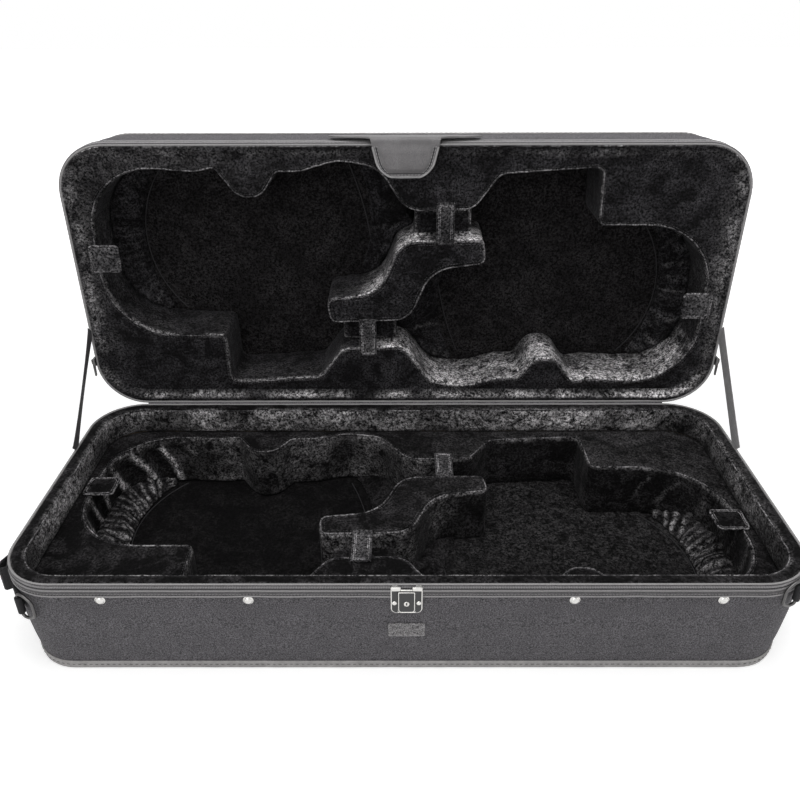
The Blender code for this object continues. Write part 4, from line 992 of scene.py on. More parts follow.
def pullGathers(obj, half, side):
    # Cloth drawn together along the floor seam, in folds that fade towards the wall; painted highlights for
    # their crests are stored too
    padTop = halves[half]["padTop"]
    centre = cushion["gathersAt"]
    crestHighlights = []
    def amount(place, normal):
        p = inHalf(half, place)
        around = math.atan2(side * p.y - centre[1], -(side * p.x - centre[0]))
        lift = (p.z - padTop) / 0.026
        wobble = 0.35 * noiseOf(around * 5, lift * 1.2, side)
        folds = abs(sin((around + wobble * 0.25) * cushion["gathers"])) ** 0.65 - 0.62
        some = 0.55 + 0.9 * max(0.0, noiseOf(around * 2.3, 4.0 * side, 2.0) + 0.25)
        fade = max(0.0, 1 - abs(lift - 0.42) / 0.75)
        crestHighlights.append(max(0.0, folds / 0.38) ** 3 * fade * some * cushion["crestHighlightTone"][half])
        return cushion["gatherDepth"][half] * folds * fade * some
    pushOut(obj, amount)
    storeValues(obj, "crest", crestHighlights)


def fillCushion(obj, held):
    group = obj.vertex_groups.new(name="held")
    group.add(held, 1.0, "REPLACE")
    start = [v.co.copy() for v in obj.data.vertices]
    cloth = obj.modifiers.new("fill", "CLOTH")
    for key, value in cushion["cloth"].items():
        setattr(cloth.settings, key, value)
    cloth.settings.effector_weights.gravity = 0
    cloth.collision_settings.use_collision = False
    cloth.point_cache.frame_start = 1
    cloth.point_cache.frame_end = cushion["frames"]
    for step in range(1, cushion["frames"] + 1):
        scene.frame_set(step)
    applyAll(obj)
    for vertex, place in zip(obj.data.vertices, start):
        move = vertex.co - place
        if move.length > cushion["farthest"]:
            vertex.co = place + move.normalized() * cushion["farthest"]
    scene.frame_set(1)
    obj.data.update()
    return obj


def makeCushion(half, kind, label):
    node = f"{half}_{kind}_pad_{label}"
    side = 1 if label == "left" else -1
    obj = softened(mergedCopy(f"{half}_{kind}_cushion_{label}", node), cushion["voxel"], 2)
    if kind == "tail":
        pullGathers(obj, half, side)
    padTop = halves[half]["padTop"]
    insert = bpy.data.objects[half + "_plush_insert"]
    walls = BVHTree.FromObject(insert, bpy.context.evaluated_depsgraph_get())
    held = []
    for v in obj.data.vertices:
        near = walls.find_nearest(v.co, cushion["heldWithin"])
        if near[0] is not None or inHalf(half, v.co).z < padTop + 0.0028:
            held.append(v.index)
    fillCushion(obj, held)
    refined(obj)
    pushOut(obj, plushMove(half, 0.0, 0.0005))
    paintSheen(obj, half, 0.4)
    keepPiece(obj, plush[half], half, [node])


for halfName in halves:
    for padKind in ("tail", "shoulder"):
        for label in ("left", "right"):
            makeCushion(halfName, padKind, label)
print("cushions filled")


# Seam cords on the floor, along the inner edge of each cushion
def arcThrough(first, middle, last, count):
    a, b, c = Vector(first), Vector(middle), Vector(last)
    d = 2 * (a.x * (b.y - c.y) + b.x * (c.y - a.y) + c.x * (a.y - b.y))
    squares = [v.length_squared for v in (a, b, c)]
    centre = Vector(((squares[0] * (b.y - c.y) + squares[1] * (c.y - a.y) + squares[2] * (a.y - b.y)) / d,
                     (squares[0] * (c.x - b.x) + squares[1] * (a.x - c.x) + squares[2] * (b.x - a.x)) / d))
    start, end = a - centre, c - centre
    bend = math.atan2(start.cross(end), start.dot(end))
    if (b - centre).dot(start + end) < 0:
        bend -= math.copysign(2 * pi, bend)
    return [centre + Vector((start.x * cos(bend * k / count) - start.y * sin(bend * k / count),
                             start.x * sin(bend * k / count) + start.y * cos(bend * k / count)))
            for k in range(count + 1)]


floorSeam = {"radius": 0.0007, "tail": ((-0.309, -0.070), (-0.352, 0.033), (-0.309, 0.140)),
             "shoulder": ((-0.0755, 0.139), (-0.049, 0.048), (-0.042, -0.013))}


def makeFloorSeams(half):
    meshes = []
    z = halves[half]["padTop"] + 0.0009
    for key in ("tail", "shoulder"):
        for side in (1, -1):
            line = [inCase(half, (side * p.x, side * p.y, z)) for p in arcThrough(*floorSeam[key], 40)]
            meshes.append(cordMesh(line, floorSeam["radius"], closed=False))
    keepMesh(half + "_floor_seams", meshes, seamPlush, half)


for halfName in halves:
    makeFloorSeams(halfName)


# Tail tabs and neck straps
def slab(name, half, low, high, round_, roll, bulge):
    # A flat sewn piece in a half's frame: flat underneath, crowned and rolled at its edge
    (x0, y0, z0), (x1, y1, z1) = low, high
    middle = Vector(((x0 + x1) / 2, (y0 + y1) / 2))
    thick = z1 - z0
    corners = inMillimetres(rectangle(x0, y0, x1, y1, round_))
    outline = evened(roundedOutline(corners, radians(15)), 0.0016)
    span = min(x1 - x0, y1 - y0) / 2
    rings = []
    for share, lift in ((0.9, 0.0), (0.985, 0.06), (1.0, 0.35), (0.995, 0.7), (0.975, 0.95), (0.945, 1.05),
                        (0.90, 1.0), (0.84, 0.86), (0.72, 0.98), (0.5, 1.0 + bulge),
                        (0.25, 1.0 + bulge * 1.3)):
        inset = span * (1 - share)
        ring = []
        for p in outline:
            toward = middle - p
            reach = Vector((max(-inset, min(inset, toward.x)), max(-inset, min(inset, toward.y))))
            wave = 1 + roll * noise.noise(Vector((p.x, p.y, share * 0.01)) / 0.006)
            ring.append(inCase(half, (p.x + reach.x, p.y + reach.y, z0 + thick * lift * wave)))
        rings.append(ring)
    return linked(name, loft(rings))


def nodeInHalf(half, node):
    a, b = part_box(node)
    p, q = inHalf(half, a), inHalf(half, b)
    return tuple(map(min, p, q)), tuple(map(max, p, q))


strapLook = {
    "round": 0.0022,
    "cord": 0.0005,
    # how far in from the edge and how far over the top each cord lies, on the tabs with its radius
    "cords": ((0.0007, -0.0006), (0.0030, -0.0001), (0.0048, 0.0001)),
    "tabCords": ((0.0010, -0.0008, 0.0013), (0.0036, 0.0001, 0.0005)),
}


def rectangleLine(half, low, high, inset, z, step=0.002, corner=0.0008):
    corners = rectangle(low[0] + inset, low[1] + inset, high[0] - inset, high[1] - inset, corner)
    outline = roundedOutline(inMillimetres(corners), radians(30))
    return [inCase(half, (p.x, p.y, z)) for p in evened(outline, step)]


def openedAt(points, left):
    # A closed line with the points left out that the test names, starting behind the gap
    gaps = [left(p) for p in points]
    first = next(i for i in range(len(points)) if gaps[i - 1] and not gaps[i])
    order = [(first + k) % len(points) for k in range(len(points))]
    return [points[i] for i in order if not gaps[i]]


def makeStraps(half):
    for label in ("upper", "lower"):
        node = f"{half}_neck_strap_{label}"
        body = f"{half}_strap_{label}"
        low, high = nodeInHalf(half, node)
        sewn = low[1] if label == "upper" else high[1]
        obj = slab(node + "_plush", half, low, high, strapLook["round"], 0.10, 0.25)
        keepPiece(obj, plushTrim, body, [node])
        cords = []
        for inset, height in strapLook["cords"]:
            line = openedAt(rectangleLine(half, low, high, inset, high[2] + height),
                            lambda p: abs(inHalf(half, p).y - sewn) < 0.006)
            cords.append(cordMesh(line, strapLook["cord"], closed=False, sides=6))
        sew("strap", body, line, turned(half, (0, 0, 1)), closed=False)
        # The borders in the lighter plush: painted sheen
        keepMesh(node + "_borders", cords, plushEdgeSheen, body)
    for label in ("left", "right"):
        node = f"{half}_tail_tab_{label}"
        low, high = nodeInHalf(half, node)
        obj = slab(node + "_plush", half, low, high, 0.0045, 0.30, 0.7)
        keepPiece(obj, plushTrim if half == "lid" else plush["base"], half, [node])
        cords = []
        for inset, height, radius in strapLook["tabCords"]:
            line = []
            for p in rectangleLine(half, low, high, inset, high[2] + height, 0.0015, 0.004):
                shake = Vector((noise.noise(p / 0.006), noise.noise(p / 0.006 + Vector((5, 0, 0))), 0))
                line.append(p + shake * 0.0008)
            cords.append(cordMesh(line, radius))
        # The tab's rolled edges in the lighter plush: painted sheen
        keepMesh(node + "_roll", cords, plushRollSheen, half)


for halfName in halves:
    makeStraps(halfName)
print("tabs and straps made")


# Outer cloth of both halves
sideCloth = {"thickness": 0.001, "levels": 22, "slack": 0.0004}


def makeSideCloth(half):
    low, high = -halves[half]["height"] + 0.0015, -0.0006
    levels = sideCloth["levels"]
    ring = caseRing(12, 0.008)
    rings = []
    for k in range(levels + 1):
        z = low + (high - low) * k / levels
        slack = sideCloth["slack"] * (1 - abs(2 * (z - low) / (high - low) - 1))
        def inset(p):
            return sideInset(half, z) - slack * (0.6 + noise.noise(Vector((p.x, p.y, z)) / 0.045))
        rings.append(ringAt(half, ring, inset, z))
    for z in (high, low):
        rings.append(ringAt(half, ring, sideInset(half, z) + sideCloth["thickness"], z))
    keepMesh(half + "_side_cloth", loft(rings, closeTrip=True), nylon, half, [half + "_side_cover"])
    pipe = cordMesh(ringAt(half, ring, 0.0005, -0.0013), 0.0014)
    keepMesh(half + "_rim_piping", pipe, piping, half)


for halfName in halves:
    makeSideCloth(halfName)


# Binding round the foot and round the lid's top
footBinding = {"low": 0.0003, "height": 0.0112, "thickness": 0.0013, "seamDown": 0.0046}


def makeFootBinding(half, node):
    low = -halves[half]["height"] + footBinding["low"]
    high = low + footBinding["height"]
    ring = caseRing(12, 0.008)
    rings = []
    for k in range(13):
        share = k / 12
        z = low + (high - low) * share
        lift = footBinding["thickness"] * min(1.0, 0.45 + 2.2 * math.sqrt(share * (1 - share))) + 0.0003
        def inset(p):
            return sideInset(half, z) - lift - 0.00025 * noiseOf(p.x / 0.012, p.y / 0.012, z / 0.02)
        rings.append(ringAt(half, ring, inset, z))
    for z in (high, low):
        rings.append(ringAt(half, ring, sideInset(half, z) - 0.0003, z))
    keepMesh(half + "_edge_binding", loft(rings, closeTrip=True), binding, half, [node])
    z = high - footBinding["seamDown"]
    line = ringAt(half, ring, sideInset(half, z) - footBinding["thickness"] - 0.0004, z)
    sew("bindingDash", half, line, outward(half, ring))


makeFootBinding("base", "base_bottom_binding")
makeFootBinding("lid", "lid_top_binding")


# Zip: the tape round each half, the coil on its edge and the rolls its sewing raises, lighter than the tape as
# painted highlights
zipLook = {"top": 0.0006, "bottom": 0.0162, "pitch": 0.0016, "coilDown": 0.0030, "wave": 0.0008,
           "rolls": (0.0079, 0.0156)}
coilTooth = stitchPart("coil_tooth", 0.00125, 0.0034, 0.0013)


def makeZip(half):
    ring = openRing(half, 12, 0.008)
    def lineAt(reach, down):
        line = []
        for p, out in ring:
            wave = zipLook["wave"] * noise.noise(Vector((p.x, p.y, 0)) / 0.035)
            wave *= smoothStep(down, 0.004, 0.014)
            spot = p + out * (reach(p) if callable(reach) else reach)
            line.append(inCase(half, (spot.x, spot.y, wave - down)))
        return line
    top, bottom = zipLook["top"], zipLook["bottom"]
    section = [(0.0003, top)]
    section += [(0.0009 + 0.0002 * (k % 2), top + (bottom - top) * k / 12) for k in range(13)]
    section.append((0.0003, bottom))
    across = list(zip(*(lineAt(reach, down) for reach, down in section)))
    keepMesh(half + "_zip_cloth", loft(across), tapeCloth, half, [half + "_zip_tape"])
    outs = outward(half, ring)
    flat = 0.0012 if half == "base" else 0.0  # the sliders of the closed lid pass over the base's ends
    line = lineAt(lambda p: 0.0016 - flat * smoothStep(abs(p.x), 0.37, 0.40), zipLook["coilDown"])
    repeated(half + "_zip_coil", [(line, outs, False)], coilTooth, coilNylon, half,
             pitch=zipLook["pitch"])
    rolls = [cordMesh(lineAt(0.0010, down), 0.0010, closed=False) for down in zipLook["rolls"]]
    keepMesh(half + "_zip_rolls", rolls, tapeRollHighlight, half)
    # A dark cord laid in the groove below the coil: painted shade
    groove = cordMesh(lineAt(0.0008, 0.0056), 0.0006, closed=False)
    keepMesh(half + "_zip_groove", groove, darkThread, half)
    sew("tapeLight", half, lineAt(0.0013, 0.0126), outs, closed=False)
    sew("tapeFine", half, lineAt(0.0012, 0.0139), outs, closed=False)


for halfName in halves:
    makeZip(halfName)
print("outer cloth and zips made")


# Foot cloth under the base, top cloth and document pocket on the lid
def makeEndCloth(half, node, name):
    foot = -halves[half]["height"]
    ring = caseRing(10, 0.02)
    section = ((0.0105, 0.0012), (0.0092, 0.0010), (0.0090, 0.0005), (0.0094, 0.0), (0.020, 0.0), (0.050, 0.0))
    rings = [ringAt(half, ring, inset, foot + up) for inset, up in section]
    keepMesh(name, loft(rings), nylon, half, [node])


makeEndCloth("base", "base_bottom_cover", "base_foot_cloth")
makeEndCloth("lid", "lid_top_cover", "lid_top_cloth")

pocket = {"inset": 0.033, "depth": 0.007, "crown": 0.0035, "zipDown": 0.030, "zipHalf": 0.335}


def makePocket():
    base = -halves["lid"]["height"] - 0.0003
    face = base - pocket["depth"]
    ring = caseRing(10, 0.012)
    rings = []
    for inset, share in ((0.0, 0.0), (-0.0006, 0.25), (-0.0002, 0.55), (0.0012, 0.85), (0.004, 1.0)):
        rings.append([(p - out * (pocket["inset"] + inset), base + (face - base) * share) for p, out in ring])
    rim = [spot for spot, z in rings[-1]]
    for k in range(1, 19):
        share = 0.95 * k / 18
        crown = pocket["crown"] * sin(pi / 2 * share) ** 2
        rings.append([(Vector((spot.x * (1 - 0.35 * share), spot.y * (1 - share))), face - crown)
                      for spot in rim])
    solid = []
    for n, row in enumerate(rings):
        line = []
        for spot, z in row:
            inward = smoothStep(n, 5, 16)
            ripple = 0.0009 * inward * noiseOf(spot.x / 0.07, spot.y / 0.05, 2.0)
            line.append(inCase("lid", (spot.x, spot.y, z + ripple)))
        solid.append(line)
    return keepMesh("document_pocket_cloth", loft(solid), nylon, "lid", ["document_pocket"])


pocketCloth = makePocket()


def makePocketZip():
    # The zip's tape and coil lie along the pocket's upper edge, over its bulge
    surface = BVHTree.FromObject(pocketCloth, bpy.context.evaluated_depsgraph_get())
    y = case["width"] / 2 - pocket["inset"] - pocket["zipDown"]
    spots = []
    for k in range(81):
        x = pocket["zipHalf"] * (2 * k / 80 - 1)
        start = inCase("lid", (x, y, -0.130))
        hit = surface.ray_cast(start, Vector((0, -1, 0)))
        spots.append(hit[0])
    section = ((-0.012, 0.0002), (-0.012, 0.0010), (-0.004, 0.0011), (0.004, 0.0011), (0.012, 0.0010),
               (0.012, 0.0002))
    rings = [[spot + Vector((0, lift, up)) for up, lift in section] for spot in spots]
    keepMesh("pocket_zip_cloth", loft(rings), tapeCloth, "lid")
    away = Vector((0, 1, 0))
    line = [spot + away * 0.0015 for spot in spots]
    repeated("pocket_zip_coil", [(line, [away] * len(spots), False)], coilTooth, coilNylon, "lid",
             pitch=zipLook["pitch"])
    for up in (-0.0105, 0.0105):
        sew("tapeFine", "lid", [spot + Vector((0, 0.0011, up)) for spot in spots], away, closed=False)


makePocketZip()


frontWay = Vector((0, -1, 0))


def frontPoint(x, depth, z):
    # A point before the base's front wall, z from its rim
    return inCase("base", (x, -(case["width"] / 2 + depth), z))


# Front rivets
rivet = {"places": (-0.310, -0.160, 0.170, 0.320), "down": 0.0215, "radius": 0.0055}
rivetPart = turnedPart("rivet", [(0.0, 0.0), (0.0050, 0.0), (0.0055, 0.0003), (0.0056, 0.0008),
                                 (0.0052, 0.0012), (0.0046, 0.0012), (0.0044, 0.0015), (0.0038, 0.0024),
                                 (0.0028, 0.0030), (0.0014, 0.0033), (0.0, 0.0034)])
rivetDepth = 0.0002 - sideInset("base", -rivet["down"] - rivet["radius"])
rivetLine = [frontPoint(x, rivetDepth, -rivet["down"]) for x in rivet["places"]]
repeated("front_rivets", [(rivetLine, [frontWay] * 4, False)], rivetPart, chrome, "base",
         replaced=[f"front_rivet_{n}" for n in (1, 2, 3, 4)])


# Lock
lock = {"width": 0.032, "height": 0.035, "back": 0.0012, "middle": 0.0040, "face": 0.0052, "corner": 0.006,
        "keyDown": 0.0215}


def plate(corners, back, face, edge=0.0003, holes=()):
    # A flat plate that stands before the front wall, with a small bevel round its face
    outline = roundedOutline(inMillimetres(corners), radians(12))
    bm = bmesh.new()
    ends = ([], [])
    for loop, inward in [(outline, -edge)] + [(hole, edge) for hole in holes]:
        rows = []
        for points, depth in ((loop, back), (loop, face - edge), (grown(loop, inward), face)):
            rows.append([bm.verts.new(frontPoint(p.x, depth, p.y)) for p in points])
        for low, high in zip(rows, rows[1:]):
            for i in range(len(low)):
                j = (i + 1) % len(low)
                bm.faces.new((low[i], low[j], high[j], high[i]))
        for row, edges in ((rows[0], ends[0]), (rows[-1], ends[1])):
            for i, vert in enumerate(row):
                edges.append(bm.edges.get((vert, row[i - 1])))
    for edges in ends:
        bmesh.ops.triangle_fill(bm, use_beauty=True, edges=edges)
    return meshFrom("plate", bm, 25)


def makeLock():
    w, h, c = lock["width"] / 2, lock["height"], lock["corner"]
    back, middle, face = lock["back"], lock["middle"], lock["face"]
    trayCorners = [(-w, -h, c), (w, -h, c), (w, 0.0, 0.001), (0.0088, 0.0, 0.0003), (0.0088, -0.0342, 0.002),
                   (-0.0088, -0.0342, 0.002), (-0.0088, 0.0, 0.0003), (-w, 0.0, 0.001)]
    keepMesh("lock_tray", plate(trayCorners, back, 0.0044), chrome, "base", ["lock_plate"])
    sheetBack = plate(rectangle(-0.0089, -0.0343, 0.0089, -0.0055, 0.002, 0.0015), back, middle, 0.0002)
    keepMesh("lock_back", sheetBack, blackEnamel, "base")
    faces = []
    for side in (-1, 1):
        inner, outer, foot = side * 0.0089, side * (w - 0.0011), -h + 0.0011
        corners = [(inner, foot, 0.0004), (outer, foot, c - 0.001), (outer, -0.0052, 0.0006),
                   (inner, -0.0052, 0.0004)]
        faces.append(plate(corners, middle, face, 0.0004))
    keepMesh("lock_enamel", faces, blackEnamel, "base")
    bars = []
    for side in (-1, 1):
        x0, x1 = sorted((side * 0.0058, side * (w - 0.0002)))
        bars.append(plate(rectangle(x0, -0.0050, x1, 0.0001, 0.0006, 0.0008), middle, 0.0053, 0.0005))
    bars.append(plate(rectangle(-0.0060, -0.0050, 0.0060, -0.0032, 0.0004), middle, 0.0051, 0.0004))
    keepMesh("lock_top_bar", bars, chrome, "base")
    studs = [frontPoint(side * 0.0123, face - 0.0001, -0.0205) for side in (-1, 1)]
    repeated("lock_rivets", [(studs, [frontWay] * 2, False)], lockStud, chrome, "base")

    keyDown = lock["keyDown"]
    rim = plate(rectangle(-0.0085, -0.0330, 0.0085, -0.0060, 0.0035, 0.001), 0.0047, 0.0057,
                holes=[circleLine(0.0, -keyDown, 0.0033)])
    keepMesh("lock_slider_rim", rim, chrome, "slider")
    cover = plate(rectangle(-0.0076, -0.0321, 0.0076, -0.0069, 0.003, 0.0008), 0.0050, 0.0061,
                  holes=[circleLine(0.0, -keyDown, 0.0034)])
    keepMesh("lock_slider_face", cover, blackEnamel, "slider", ["lock_slider"])
    slot = roundedOutline([(-0.55, -23.4, 0.3), (0.55, -23.4, 0.3), (0.55, -19.6, 0.3), (-0.55, -19.6, 0.3)])
    turns = [2 * pi * k / 24 for k in range(24)]
    disc = [(0.0030 * cos(turn), -keyDown + 0.0030 * sin(turn), 0.0002) for turn in turns]
    plug = plate(disc, 0.0048, 0.0062, 0.0004, [slot])
    keepMesh("key_plug_face", plug, chrome, "key", ["key_plug"])
    # A black plate at the slot's bottom: painted shade in the slot
    floor = plate(rectangle(-0.001, -0.0238, 0.001, -0.0192, 0.0003), 0.0047, 0.0052, 0.0001)
    keepMesh("key_slot_floor", floor, blackEnamel, "key")


lockStud = turnedPart("lock_stud", [(0.0, 0.0), (0.0026, 0.0), (0.0027, 0.0003), (0.0024, 0.0009),
                                    (0.0017, 0.0013), (0.0008, 0.0015), (0.0, 0.0015)], 16)
makeLock()


# Blank woven patch below the lock
patch = {"width": 0.038, "height": 0.020, "down": 0.065}


def makePatch():
    w, h, z = patch["width"] / 2, patch["height"] / 2, -patch["down"]
    outline = evened(roundedOutline(inMillimetres(rectangle(-w, z - h, w, z + h, 0.0012))), 0.0012)
    rings = []
    for inset, lift in ((0.0, 0.0), (-0.0002, 0.0007), (0.0004, 0.0012), (0.0016, 0.0013), (0.0026, 0.0010),
                        (0.0040, 0.0010)):
        rings.append([frontPoint(p.x, 0.0004 + lift - sideInset("base", p.y), p.y)
                      for p in grown(outline, -inset)])
    for share in (0.8, 0.6, 0.4, 0.2):
        row = []
        for p in grown(outline, -0.0040):
            level = z + (p.y - z) * share
            row.append(frontPoint(p.x * share, 0.0015 - sideInset("base", level), level))
        rings.append(row)
    mesh = loft(rings)
    for loop in mesh.loops:
        co = mesh.vertices[loop.vertex_index].co
        mesh.uv_layers["cloth"].data[loop.index].uv = (co.x, co.z)
    keepMesh("blank_patch_cloth", mesh, patchCloth, "base", ["blank_patch"])
    line = [frontPoint(p.x, 0.0017 - sideInset("base", p.y), p.y) for p in grown(outline, -0.0012)]
    sew("patchEdge", "base", line, frontWay)
    # A sewn line runs down the front between the lock and the foot, and leaves the patch out
    runs = {"above": [], "below": []}
    for k in range(37):
        level = -0.036 - 0.0022 * k
        spot = frontPoint(0.0008 * sin(k * 0.9), 0.0003 - sideInset("base", level), level)
        if abs(level - z) > h + 0.001:
            runs["above" if level > z else "below"].append(spot)
    for run in runs.values():
        sew("frontDash", "base", run, frontWay, closed=False)


makePatch()
print("lock, rivets and patch made")


# D-rings with their sleeves, and the webbing loop
dRing = {"wire": 0.0033, "width": 0.031, "depth": 0.022, "axisX": 0.397265, "axisY": -0.168668,
         "drops": {"left": 0.035, "right": 0.018}, "facing": 66}


def makeWebbing(name, node):
    obj = softened(mergedCopy(name, node), 0.0007, 2)
    pushOut(obj, lambda p, n: 0.00012 * noise.noise(p / 0.0014))
    keepPiece(obj, webbingPlain, "base", [node])


def makeRing(label):
    side = -1 if label == "left" else 1
    half, reach = dRing["width"] / 2, dRing["depth"] - dRing["wire"]
    outline = roundedOutline([(0.0, -half * 1000, 4.0), (0.0, half * 1000, 4.0),
                              (reach * 450, half * 1000, 6.0), (reach * 1000, half * 620, 8.0),
                              (reach * 1000, -half * 620, 8.0), (reach * 450, -half * 1000, 6.0)],
                             radians(12))
    heading = radians(dRing["facing"]) - pi / 2
    if side > 0:
        heading = pi - heading
    centre = Vector((side * dRing["axisX"], dRing["axisY"], case["baseRimUp"] - dRing["drops"][label]))
    points = [centre + Vector((p.x * cos(heading), p.x * sin(heading), p.y)) for p in evened(outline, 0.0014)]
    wire = cordMesh(points, dRing["wire"] / 2, sides=14)
    keepMesh(f"d_ring_wire_{label}", wire, dullChrome, f"ring_{label}", [f"d_ring_{label}"])
    makeWebbing(f"d_ring_sleeve_{label}", f"d_ring_tab_{label}")


for label in ("left", "right"):
    makeRing(label)
makeWebbing("webbing_loop_cloth", "webbing_loop")


# Stay tapes between the rims, and the cloth hinge
stay = {"width": {"left": 0.019, "right": 0.022}, "thickness": 0.0012, "x": 0.4181,
        "foot": (0, 0.061, 0.1296), "head": (0, 0.1770, 0.2415),
        "turn": {"left": 13, "right": 2}, "cloth": {"left": stayShaded, "right": stayLit}}


def makeStay(label):
    side = -1 if label == "left" else 1
    foot, head = Vector(stay["foot"]), Vector(stay["head"])
    run = (head - foot).normalized()
    level = Vector((0, -run.z, run.y))
    rings = []
    for n in range(41):
        # between its ends the tape hangs a little turned about its own length
        turn = radians(stay["turn"][label]) * sin(pi * n / 40) ** 0.5
        wide = level * cos(turn) - Vector((side, 0, 0)) * sin(turn)
        out = Vector((side, 0, 0)) * cos(turn) + level * sin(turn)
        spot = foot.lerp(head, n / 40) + Vector((side * stay["x"], 0, 0))
        row = []
        for face in (1, -1):
            for k in (range(9) if face > 0 else range(8, -1, -1)):
                u = (k / 8 - 0.5) * stay["width"][label]
                share = 0.5 - 0.25 * abs(2 * k / 8 - 1) ** 6
                row.append(spot + wide * u + out * face * stay["thickness"] * share)
        rings.append(row)
    mesh = loft(rings)
    for loop in mesh.loops:
        flat = mesh.vertices[loop.vertex_index].co - foot
        mesh.uv_layers["cloth"].data[loop.index].uv = (flat.dot(run), flat.dot(level))
    obj = linked(f"stay_cloth_{label}", mesh)
    obj.data.materials.append(stay["cloth"][label])
    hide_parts(f"stay_tape_{label}")
    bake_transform(obj)


for label in ("left", "right"):
    makeStay(label)

spine = {"half": 0.359, "thickness": 0.0009}


def makeSpine():
    path = [(0.1768, 0.0995), (0.1768, 0.106), (0.1768, 0.113), (0.1768, 0.120), (0.1768, 0.125),
            (0.1769, 0.1280), (0.1774, 0.1294), (0.1788, 0.1299), (0.182, 0.1299), (0.187, 0.1299),
            (0.193, 0.1299), (0.2055, 0.1299)]
    rings = []
    for n, (y, z) in enumerate(path):
        before, after = Vector(path[max(0, n - 1)]), Vector(path[min(len(path) - 1, n + 1)])
        run = (after - before).normalized()
        out = Vector((run.y, -run.x)) * spine["thickness"] / 2
        xs = [spine["half"] * (2 * k / 60 - 1) for k in range(61)]
        row = [Vector((x, y + out.x, z + out.y)) for x in xs]
        row += [Vector((x, y - out.x, z - out.y)) for x in xs[::-1]]
        rings.append(row)
    obj = linked("hinge_cloth", loft(rings))
    obj.data.materials.append(nylon)
    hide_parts("hinge_spine")
    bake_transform(obj)


makeSpine()


# Flap over the lock: sewn to the lid's front wall, its tongue hangs over the rim
flap = {
    "rootWide": 0.184,
    "rootEnds": 0.026,
    "tongueStarts": 0.049,
    "tongueHalf": 0.0415,
    "tongueLength": 0.052,
    "tongueTaper": 0.0125,
    "thickness": 0.0020,
    "seamIn": 0.0050,
    "round": 0.020,
    "padding": 0.0020,
    "columns": 60,
}


def flapWidth(s):
    # Half width at a distance s along the flap from its sewn edge; the fold lies at about 50 mm
    root, tongue = flap["rootWide"] / 2, flap["tongueHalf"]
    if s < flap["rootEnds"]:
        return root - 0.006 * max(0.0, 1 - s / 0.006) ** 2
    if s < flap["tongueStarts"]:
        return root + (tongue - root) * smoothStep(s, flap["rootEnds"], flap["tongueStarts"])
    return tongue - flap["tongueTaper"] * (s - flap["tongueStarts"]) / flap["tongueLength"]


def makeFlap():
    # Middle line in the case: along the lid's upper wall, over the fold, down before the rim
    line = [(0.2210, 0.4836), (0.2160, 0.4842), (0.2080, 0.4862), (0.2000, 0.4876), (0.1920, 0.4888),
            (0.1850, 0.4897), (0.1790, 0.4903), (0.1740, 0.4905), (0.1719, 0.4900), (0.1709, 0.4885),
            (0.1707, 0.4850), (0.1708, 0.4790), (0.1709, 0.4720), (0.1709, 0.4640), (0.1709, 0.4560),
            (0.1709, 0.4500), (0.1709, 0.4462), (0.1709, 0.4442)]
    spots = evened([Vector(p) for p in line], 0.0014, closed=False)
    lengths = [0.0]
    for a, b in zip(spots, spots[1:]):
        lengths.append(lengths[-1] + (b - a).length)
    total = lengths[-1]
    rings, edge, columns = [], [], flap["columns"]
    for n, spot in enumerate(spots):
        run = (spots[min(n + 1, len(spots) - 1)] - spots[max(n - 1, 0)]).normalized()
        out = Vector((run.y, -run.x))
        half = flapWidth(lengths[n])
        left = total - lengths[n]
        if left < flap["round"]:
            half -= flap["round"] - math.sqrt(max(0.0, flap["round"] ** 2 - (flap["round"] - left) ** 2))
        tongue = smoothStep(lengths[n], 0.054, 0.066)
        full = flap["padding"] * tongue * smoothStep(left, flap["seamIn"], flap["seamIn"] + 0.007)
        upper, lower = [], []
        for k in range(columns + 1):
            u = 2 * k / columns - 1
            inner = max(0.0, min(1.0, ((1 - abs(u)) * half - flap["seamIn"]) / 0.009))
            puff = flap["thickness"] * (0.5 - 0.22 * abs(u) ** 14) + full * inner * (2 - inner)
            ripple = 0.0005 * noiseOf(u * half / 0.02, lengths[n] / 0.02, 5.0)
            toEdge = min((1 - abs(u)) * half, left)
            groove = -0.0007 * tongue * max(0.0, 1 - abs(toEdge - flap["seamIn"] + 0.0006) / 0.0020)
            centre = Vector((u * half, spot.x, spot.y))
            away = Vector((0, out.x, out.y))
            upper.append(centre + away * (puff + ripple + groove))
            lower.append(centre - away * (flap["thickness"] * 0.5 - ripple * 0.3))
        edge.append((half, spot, out))
        rings.append(upper + lower[::-1])
    obj = linked("flap_cloth", loft(rings))
    obj.data.materials.append(leatherette)
    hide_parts("flap_root", "flap_tongue")
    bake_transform(obj)
    return edge, lengths, total


flapEdge, flapLengths, flapTotal = makeFlap()


def sewFlap():
    # A rolled edge round the tongue, two stitched lines inside it and a dark cord between them, painted shade
    # in the groove
    for inset, kind in ((0.0004, "edge"), (0.0034, "stitches"), (0.0045, "groove"), (0.0056, "stitches")):
        lines, outs = {1: [], -1: []}, {1: [], -1: []}
        for (half, spot, out), s in zip(flapEdge, flapLengths):
            if s < 0.058 or flapTotal - s < inset:
                continue
            away = Vector((0, out.x, out.y))
            for side in (1, -1):
                reach = Vector((side * max(0.0, half - inset), spot.x, spot.y))
                lines[side].append(reach + away * (0.0 if kind == "edge" else 0.0008))
                outs[side].append(away)
        line = lines[-1] + lines[1][::-1]
        if kind == "stitches":
            sew("flapStitch", "flap", line, outs[-1] + outs[1][::-1], closed=False)
            continue
        radius, finish = (0.0013, leatherEdge) if kind == "edge" else (0.0005, darkThread)
        cord = cordMesh(evened(line, 0.002, closed=False), radius, closed=False)
        keepMesh("flap_" + kind, cord, finish, "flap")


sewFlap()
print("webbing, hinge and flap made")


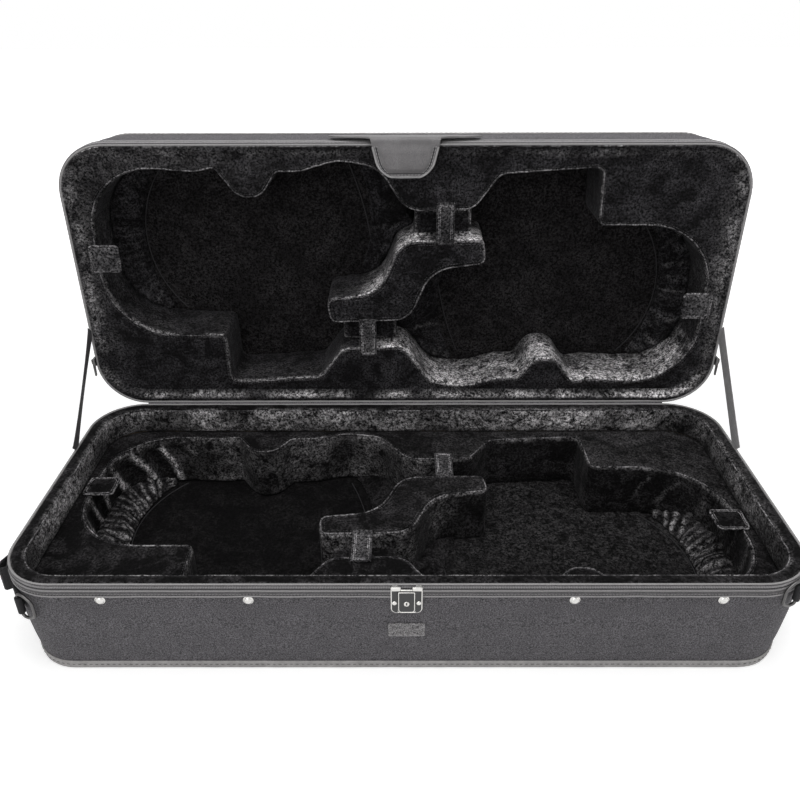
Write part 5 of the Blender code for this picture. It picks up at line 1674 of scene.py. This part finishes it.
# Every sewn line gets its stitches, one mesh for each body and thread
threadKinds = {
    "plushFine": (stitchShort, plushTrim, 0.0036, "plush"),
    "strap": (stitchFine, greyThread, 0.0030, "plush"),
    "bindingDash": (stitchDash, darkThread, 0.0062, "binding"),
    "tapeFine": (stitchFine, darkThread, 0.0032, "tape"),
    "tapeLight": (stitchShort, coilNylon, 0.0034, "tape"),
    "patchEdge": (stitchFine, greyThread, 0.0026, "binding"),
    "frontDash": (stitchDash, darkThread, 0.0066, "nylon"),
    "flapStitch": (stitchShort, greyThread, 0.0040, "leatherette"),
}
for (kind, body), lines in threads.items():
    part, finish, pitch, slotName = threadKinds[kind]
    repeated(f"{body}_{kind}_stitches", lines, part, finish, body, pitch=pitch, sizeSpread=0.12,
             seed=len(lines))
print("stitches made")


# CAD pieces that stay, with better finishes
kept = {"base_shell": board, "lid_shell": board, "hasp": chrome, "zip_slider_left": dullChrome,
        "zip_slider_right": dullChrome, "zip_pull_left": dullChrome, "zip_pull_right": dullChrome,
        "pocket_slider": dullChrome, "pocket_pull": dullChrome}
for nodeName, finish in kept.items():
    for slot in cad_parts[nodeName].material_slots:
        slot.link = "OBJECT"
        slot.material = finish


# Studio
studio = {
    "worldStrength": 0.38,
    # strength for its size, size, place and aim
    "lamps": {
        "over": (8.0, 1.6, (0.05, -0.15, 1.75), (0, 0.05, 0.15)),
        "front": (4.2, 1.5, (-0.7, -1.7, 1.1), (0, 0, 0.18)),
        "side": (1.6, 1.0, (1.5, -0.7, 0.9), (0.1, 0.05, 0.18)),
    },
}


def backdropMask(tree):
    # White for the camera and for what metal reflects
    path = addNode(tree, "ShaderNodeLightPath")
    seen = mathNode(tree, "MAXIMUM", path.outputs["Is Camera Ray"], path.outputs["Is Glossy Ray"])
    return mathNode(tree, "MAXIMUM", seen, path.outputs["Is Transmission Ray"])


def makeStudio():
    world = bpy.data.worlds.new("studio")
    scene.world = world
    world.use_nodes = True
    tree = world.node_tree
    back = tree.nodes["Background"]
    back.inputs["Color"].default_value = (1, 1, 1, 1)
    strength = ramp(tree, backdropMask(tree), 0.0, 1.0, studio["worldStrength"], 1.0)
    tree.links.new(strength, back.inputs["Strength"])

    mesh = bpy.data.meshes.new("floor")
    mesh.from_pydata([(-6, -6, 0), (6, -6, 0), (6, 6, 0), (-6, 6, 0)], [], [(0, 1, 2, 3)])
    floor = linked("floor", mesh)
    material, tree, shader = startMaterial("floor", roughness=0.9, specular=0.1)
    shader.inputs["Base Color"].default_value = (0.82, 0.82, 0.82, 1)
    shader.inputs["Emission Color"].default_value = (1, 1, 1, 1)
    away = addNode(tree, "ShaderNodeVectorMath", operation="LENGTH")
    tree.links.new(objectPlace(tree), away.inputs[0])
    fade = ramp(tree, away.outputs["Value"], 0.6, 2.2, 0.45, 1.05)
    glow = mathNode(tree, "MULTIPLY", backdropMask(tree), fade)
    tree.links.new(glow, shader.inputs["Emission Strength"])
    mesh.materials.append(material)

    for name, (power, size, place, aim) in studio["lamps"].items():
        data = bpy.data.lights.new(name, "AREA")
        data.energy = power * size * size
        data.size = size
        lamp = linked(name, data)
        lamp.location = place
        lamp.rotation_euler = (Vector(aim) - Vector(place)).to_track_quat("-Z", "Y").to_euler()


makeStudio()
scene.view_settings.view_transform = "Standard"
print("studio made")
